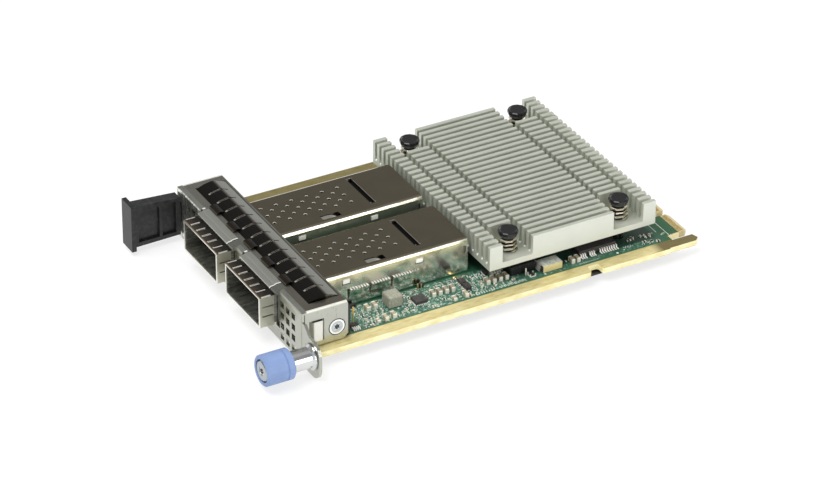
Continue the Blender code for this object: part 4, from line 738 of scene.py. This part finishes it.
def capacitors():
    """Tinned ends for the modelled capacitors, and the single ones round them."""
    cap = 0.03                           # how far the tin stands out
    ends = []
    for name in MODELLED_CAPACITORS:
        low, high = card_box(name)
        for x in ((low.x - cap, low.x + 0.38), (high.x - 0.38, high.x + cap)):
            ends.append(((x[0], low.y - cap, 0.0), (x[1], high.y + cap, high.z + cap)))
    bodies = []
    for x, y, length, width, height in LOOSE_CAPACITORS:
        bodies.append(block(x, y, (length - 0.1, width - 0.06, height - 0.03)))
        for side in (-1, 1):
            ends.append(block(x + side * (length / 2 - 0.21), y, (0.42, width, height)))
    boxes("capacitor_bodies", bodies, TAN, bevel=0.05)
    boxes("capacitor_ends", ends, TIN, bevel=0.06)


def busy(x, y):
    """Whether a larger part takes this place of the strip."""
    room_x, room_y = 0.75, 0.6
    return (any(low.x - room_x < x < high.x + room_x and low.y - room_y < y < high.y + room_y
                for low, high in STRIP_BOXES)
            or any(abs(x - px) < 1.8 and abs(y - py) < 1.1 for px, py, *_ in LOOSE_CAPACITORS))


def lay(x, y, across, shift, size):
    """A box on the board, moved along its own length, which runs along x if across is true, or y."""
    if across:
        return block(x + shift, y, size)
    return block(x, y + shift, (size[1], size[0], size[2]))


def tiny_parts():
    """Small chip resistors and capacitors between the larger parts."""
    tries, wanted = 900, 120
    places = []
    for _ in range(tries):
        x, y = rng.uniform(24.0, 33.3), rng.uniform(19.0, 64.0)
        if len(places) < wanted and not busy(x, y) and all(abs(x - px) > 1.0 or abs(y - py) > 0.75
                                                           for px, py, _ in places):
            places.append((x, y, rng.random() < 0.6))
    for x, y in ((30.75, 32.7), (24.6, 34.7), (25.9, 35.0), (28.2, 53.4), (29.0, 55.0), (30.4, 79.8)):
        places.append((x, y, True))
    for mx, my, count in ((29.5, 100.4, 6), (29.7, 103.8, 6), (29.9, 105.8, 5), (32.25, 102.8, 5),
                          (32.6, 105.6, 4)):
        for _ in range(count):
            places.append((mx + rng.uniform(-0.9, 0.9), my + rng.uniform(-1.0, 1.0), rng.random() < 0.5))
    dark, brown, ends = [], [], []
    for x, y, across in places:
        length, width, height = rng.choice(((1.0, 0.5, 0.35), (0.62, 0.32, 0.28), (0.62, 0.32, 0.28)))
        body = lay(x, y, across, 0.0, (length * 0.5, width * 0.94, height * 1.02))
        (dark if rng.random() < 0.5 else brown).append(body)
        for side in (-1, 1):
            ends.append(lay(x, y, across, side * length * 0.375, (length * 0.25, width, height)))
    boxes("tiny_bodies_dark", dark, DARK)
    boxes("tiny_bodies_brown", brown, TAN)
    boxes("tiny_ends", ends, TIN)


def spaced(low, high, margin, count):
    """Evenly spaced places between two ends, less a margin."""
    return [low + margin + k * (high - low - 2 * margin) / (count - 1) for k in range(count)]


def leads():
    """Gull-wing leads of the memory chip and small packages, and the controller's pads."""
    wing = ((30.15, 0.72, 30.65, 0.86), (30.55, 0.05, 30.72, 0.86), (30.6, 0.04, 31.75, 0.18))
    parts = []
    for start, pitch, count in ((84.3, 0.62, 3), (87.0, 0.62, 3), (90.1, 0.70, 8)):
        for k in range(count):
            y = start + pitch * k
            parts += [((x0, y - 0.17, z0), (x1, y + 0.17, z1)) for x0, z0, x1, z1 in wing]
    low, high = card_box("controller_chip")
    for x, y in zip(spaced(low.x, high.x, 0.3, 7), spaced(low.y, high.y, 0.3, 7)):
        parts += [block(x, side, (0.2, 0.36, 0.14)) for side in (low.y - 0.14, high.y + 0.14)]
        parts += [block(side, y, (0.36, 0.2, 0.14)) for side in (low.x - 0.14, high.x + 0.14)]
    for name in ("regulator_front", "regulator_rear"):
        low, high = card_box(name)
        for x in spaced(low.x, high.x, 0.4, 3):
            parts += [block(x, side, (0.25, 0.5, 0.2)) for side in (low.y - 0.2, high.y + 0.2)]
    for k in range(4):
        parts.append(block(32.6, 15.9 + 0.55 * k, (1.5, 0.22, 0.5)))
        parts.append(block(26.6, 59.9 + 0.75 * k, (0.8, 0.3, 0.5)))
        parts.append(((28.2, 71.02 + 0.14 * k, 0.3 + 0.5 * k), (31.6, 71.12 + 0.14 * k, 0.42 + 0.5 * k)))
    boxes("chip_leads", parts, LEADS)
    cores = [block(31.4, 16.75, (1.2, 2.2, 0.9)), block(25.3, 58.6, (2.0, 1.1, 1.0)),
             block(31.9, 68.6, (1.0, 1.1, 0.6))]
    boxes("small_packages", cores, DARK, bevel=0.05)
    shades = [((30.12, y0, 0.0), (31.8, y1, 0.03))
              for y0, y1 in ((83.9, 86.0), (86.6, 88.7), (89.7, 95.4))]
    shades.append(((30.02, 84.0, 0.0), (30.10, 95.1, 0.7)))
    boxes("lead_shades", shades, DARK)


def crystal_frame():
    """The open frame of the crystal behind the right port, and the post in front of it."""
    x, y = 31.9, 68.6
    parts = [block(x + dx, y + dy, (0.22, 0.22, 0.75)) for dx in (-0.7, 0.7) for dy in (-0.75, 0.75)]
    parts += [block(x, y + dy, (1.6, 0.2, 0.2)) for dy in (-0.75, 0.75)]
    parts += [block(x + dx, y, (0.2, 1.5, 0.2)) for dx in (-0.8, 0.8)]
    parts.append(block(31.1, 67.3, (0.28, 0.28, 2.0)))
    boxes("crystal_frame", parts, TIN)


def legend():
    """Printed outlines, dashes and dots in white ink, without lettering."""
    thick = 0.02
    marks = [((25.1, 108.06, 0.0), (29.3, 108.2, thick)), ((25.1, 110.3, 0.0), (34.0, 110.45, thick))]
    for k in range(6):
        marks.append(block(25.6, 54.2 + 0.72 * k, (2.3, 0.16, thick)))
    for k in range(15):
        marks.append(block(33.1 - 0.3 * (k % 2), 58.8 + 0.52 * k, (0.9, 0.17, thick)))
    for k in range(10):
        marks.append(block(33.0, 50.9 + 0.75 * k, (rng.uniform(0.3, 1.1), 0.2, thick)))
        marks.append(block(33.2, 82.4 + 0.6 * k, (rng.uniform(0.25, 0.6), 0.22, thick)))
    for k in range(8):
        marks.append(block(31.6 + 0.4 * (k % 2), 96.6 + 0.36 * k, (0.45, 0.17, thick)))
        marks.append(block(rng.uniform(30.2, 31.2), 108.6 + 0.17 * k, (0.35, 0.12, thick)))
    for _ in range(70):
        x, y = rng.uniform(23.8, 33.6), rng.uniform(16.0, 62.0)
        if not busy(x, y):
            size = (0.14, rng.uniform(0.4, 1.3)) if rng.random() < 0.5 else (rng.uniform(0.4, 1.3), 0.14)
            marks.append(block(x, y, (*size, thick)))
    boxes("legend_marks", marks, SILK)
    bm = bmesh.new()
    for x, y, radius in ((33.2, 93.8, 0.36), (32.6, 96.2, 0.2), (33.0, 72.0, 0.25), (26.5, 61.9, 0.25)):
        bmesh.ops.create_cone(bm, cap_ends=True, segments=16, radius1=radius * MM, radius2=radius * MM,
                              depth=thick * MM, matrix=Matrix.Translation(at(x, y, thick / 2)))
    link("legend_dots", mesh_of(bm, "legend_dots"), SILK)


def gilded_bits():
    """Plated posts and a grounding ring beside the right port."""
    x, y = 23.75, 51.0
    inner, outer, height = 0.55, 1.0, 0.25
    count = 28
    bm = bmesh.new()

    def point(angle, radius, z):
        return bm.verts.new(at(x + radius * math.cos(angle), y + radius * math.sin(angle), z))

    for k in range(count):
        a, b = (2 * math.pi * v / count for v in (k, k + 1))
        bm.faces.new([point(a, inner, height), point(a, outer, 0.0), point(b, outer, 0.0),
                      point(b, inner, height)])
        bm.faces.new([point(a, inner, 0.0), point(a, inner, height), point(b, inner, height),
                      point(b, inner, 0.0)])
    link("plated_ring", mesh_of(bm, "plated_ring"), GOLD)
    boxes("gilded_posts", [block(23.5, 39.6, (0.35, 0.3, 1.4)), block(23.7, 40.5, (0.35, 0.3, 1.2)),
                           ((29.35, 17.3, 0.0), (29.6, 17.7, 4.6))], GOLD)
    boxes("post_shades", [block(23.6, 40.05, (0.5, 0.5, 1.5)), block(23.3, 41.0, (0.8, 0.5, 1.3)),
                          block(23.3, 20.6, (0.8, 1.6, 1.0))], DARK)


def lanced_tongues():
    """The curled tongue over each cover's lanced opening, and the nicks at the rear slot's ends."""
    profile = ((26.5, 10.03), (27.0, 10.16), (28.2, 10.22), (29.4, 10.10), (30.3, 9.80), (30.9, 9.45))
    section = ((-0.75, 0.28), (-0.42, 0.06), (0.0, 0.0), (0.42, 0.06), (0.75, 0.28))
    offset = 6.95                        # from the port's middle to the tongue's
    bm = bmesh.new()
    for centre in PORTS:
        for first, second in zip(profile, profile[1:]):
            rows = [[bm.verts.new(at(centre + offset + dx, y, z - drop)) for dx, drop in section]
                    for y, z in (first, second)]
            for a, b, c, d in zip(rows[0], rows[0][1:], rows[1][1:], rows[1]):
                bm.faces.new((a, b, c, d))
    bmesh.ops.remove_doubles(bm, verts=bm.verts, dist=1e-6)
    bmesh.ops.recalc_face_normals(bm, faces=bm.faces)
    mesh = mesh_of(bm, "lanced_tongues")
    for face in mesh.polygons:
        face.use_smooth = True
    link("lanced_tongues", mesh, TONGUE)
    half = 0.17
    nicks = [((x - half, y - half, 10.0), (x + half, y + half, 10.10)) for centre in PORTS
             for x, y in ((centre - 6.6, 41.35), (centre + 6.1, 41.5), (centre + 6.0, 42.9))]
    boxes("slot_nicks", nicks, TONGUE, bevel=0.05)


def star_socket(name, place, turn, radius, deep, body):
    """A six-lobed drive that lines a screw's round recess; it opens along the local z axis."""
    bm = bmesh.new()
    count = 48
    mean, swing = 0.72, 0.15             # of the lobes, as shares of the radius
    rings = []
    for lobed, z in ((False, 0.0), (True, 0.0), (True, -deep)):
        ring = []
        for k in range(count):
            angle = 2 * math.pi * k / count
            r = radius * (mean + swing * math.cos(6 * angle)) if lobed else radius
            ring.append(bm.verts.new((r * MM * math.cos(angle), r * MM * math.sin(angle), z * MM)))
        rings.append(ring)
    for first, second in zip(rings, rings[1:]):
        for k in range(count):
            bm.faces.new((first[k], first[(k + 1) % count], second[(k + 1) % count], second[k]))
    bm.faces.new(rings[-1])
    bm.normal_update()
    bmesh.ops.transform(bm, matrix=Matrix.Translation(at(*place)) @ turn, verts=bm.verts)
    mesh = mesh_of(bm, name)
    link(name, mesh, MATS["screw_steel"], body)
    mesh.materials.append(STAR)
    mesh.polygons[len(mesh.polygons) - 1].material_index = 1


def drives():
    """The drives of the thumbscrew and of the two side screws."""
    quarter = math.pi / 2
    low, _ = card_box("thumbscrew_screw")
    star_socket("thumbscrew_drive", (40.1, low.y + 0.12, 1.3), Matrix.Rotation(quarter, 4, "X"),
                1.15, 0.55, "thumbscrew_turner")
    for word, side in (("right", 1), ("left", -1)):
        star_socket(f"side_drive_{word}", (side * 35.07, SIDE_SCREW_Y, SIDE_SCREW_Z),
                    Matrix.Rotation(side * quarter, 4, "Y"), 0.98, 0.36, "root")


def travelling_spring():
    """The thumbscrew's spring, copied onto the knob's slider so that it travels with the knob as it
    slides in.
    """
    source = nodes["thumbscrew_spring"]
    obj = bpy.data.objects.new("thumb_spring", source.data.copy())
    bpy.context.scene.collection.objects.link(obj)
    obj.matrix_world = source.matrix_world.copy()
    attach(obj, "thumbscrew_slider")
    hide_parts("thumbscrew_spring")
    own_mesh(obj)


contact_pads()
capacitors()
tiny_parts()
leads()
crystal_frame()
legend()
gilded_bits()
lanced_tongues()
drives()
travelling_spring()

scene = bpy.context.scene
scene.view_settings.view_transform = "Standard"


def look_from_photo():
    """The camera's place and lens, fitted to the photograph."""
    azimuth, elevation, roll = math.radians(60.70), math.radians(31.80), math.radians(0.45)
    aim = Vector((0.0, 55.0, 0.0))
    aim_right, aim_up = 4.01, 2.28       # where the point lies in the picture
    distance = 1026.8
    photo_width, focal_pixels = 820, 3909.3
    back = Vector((math.sin(azimuth) * math.cos(elevation), -math.cos(azimuth) * math.cos(elevation),
                   math.sin(elevation)))
    side = Vector((math.cos(azimuth), math.sin(azimuth), 0.0))
    up = back.cross(side)
    right = math.cos(roll) * side + math.sin(roll) * up
    top = -math.sin(roll) * side + math.cos(roll) * up
    place = aim - right * aim_right - top * aim_up + back * distance
    data = bpy.data.cameras.new("camera")
    data.sensor_width = 36.0
    data.lens = focal_pixels / photo_width * data.sensor_width
    data.clip_start = 0.01
    data.clip_end = 20.0
    cam = bpy.data.objects.new("camera", data)
    scene.collection.objects.link(cam)
    matrix = Matrix((right, top, back)).transposed().to_4x4()
    matrix.translation = (place - ORIGIN) * MM
    cam.matrix_world = matrix
    scene.camera = cam


def mixed_shader(tree, factor, first, second):
    node = tree.nodes.new("ShaderNodeMixShader")
    for socket, value in zip(node.inputs, (factor, first, second)):
        tree.links.new(value, socket)
    return node.outputs[0]


def floor():
    """A pale floor that the camera and reflections see nearly white."""
    bm = bmesh.new()
    bmesh.ops.create_grid(bm, x_segments=1, y_segments=1, size=6.0)
    mesh = mesh_of(bm, "floor")
    obj = bpy.data.objects.new("floor", mesh)
    scene.collection.objects.link(obj)
    clearance = 0.0002
    obj.location.z = cad_box[0].z - clearance
    n = Nodes("floor_white")
    n.set(color=(0.93, 0.93, 0.93), rough=0.9, specular=0.1)
    path = n.add("ShaderNodeLightPath").outputs
    seen = n.most(path["Is Camera Ray"], path["Is Glossy Ray"], path["Is Transmission Ray"])
    white = n.add("ShaderNodeEmission")
    white.inputs["Strength"].default_value = 1.0
    surface = mixed_shader(n.tree, n.times(seen, 0.72), n.shader.outputs[0], white.outputs[0])
    n.link(surface, n.tree.nodes["Material Output"].inputs["Surface"])
    mesh.materials.append(n.mat)


def world():
    """White round the horizon and a dim ceiling for reflections; even light for the rest."""
    sky = bpy.data.worlds.new("studio")
    scene.world = sky
    sky.use_nodes = True
    tree = sky.node_tree
    tree.nodes.clear()
    coords = tree.nodes.new("ShaderNodeTexCoord")
    split = tree.nodes.new("ShaderNodeSeparateXYZ")
    tree.links.new(coords.outputs["Generated"], split.inputs[0])
    ramp = tree.nodes.new("ShaderNodeValToRGB")
    tree.links.new(split.outputs["Z"], ramp.inputs[0])
    fill_ramp(ramp.color_ramp, [(place, (value,) * 3) for place, value in (
        (0.0, 1.0), (0.16, 0.9), (0.36, 0.30), (0.50, 0.22), (0.75, 0.30), (1.0, 0.55))])
    lit, mirror, white = (tree.nodes.new("ShaderNodeBackground") for _ in range(3))
    lit.inputs["Color"].default_value = (1.0, 1.0, 1.0, 1.0)
    lit.inputs["Strength"].default_value = 0.62
    tree.links.new(ramp.outputs[0], mirror.inputs["Color"])
    white.inputs["Color"].default_value = (1.0, 1.0, 1.0, 1.0)
    path = tree.nodes.new("ShaderNodeLightPath").outputs
    light = mixed_shader(tree, path["Is Glossy Ray"], lit.outputs[0], mirror.outputs[0])
    surface = mixed_shader(tree, path["Is Camera Ray"], light, white.outputs[0])
    tree.links.new(surface, tree.nodes.new("ShaderNodeOutputWorld").inputs["Surface"])


def lamp(name, place, size, watts):
    """A rectangular area lamp that shines on the card's middle."""
    data = bpy.data.lights.new(name, "AREA")
    data.shape = "RECTANGLE"
    data.size, data.size_y = size
    data.energy = watts
    obj = bpy.data.objects.new(name, data)
    scene.collection.objects.link(obj)
    obj.location = place
    obj.rotation_euler = (-Vector(place)).to_track_quat("-Z", "Y").to_euler()


look_from_photo()
floor()
world()
lamp("key_lamp", (0.05, -0.35, 0.75), (0.55, 0.45), 5.0)
lamp("side_lamp", (0.75, 0.10, 0.30), (0.5, 0.35), 2.2)
lamp("back_lamp", (-0.25, 0.75, 0.55), (0.6, 0.3), 2.5)
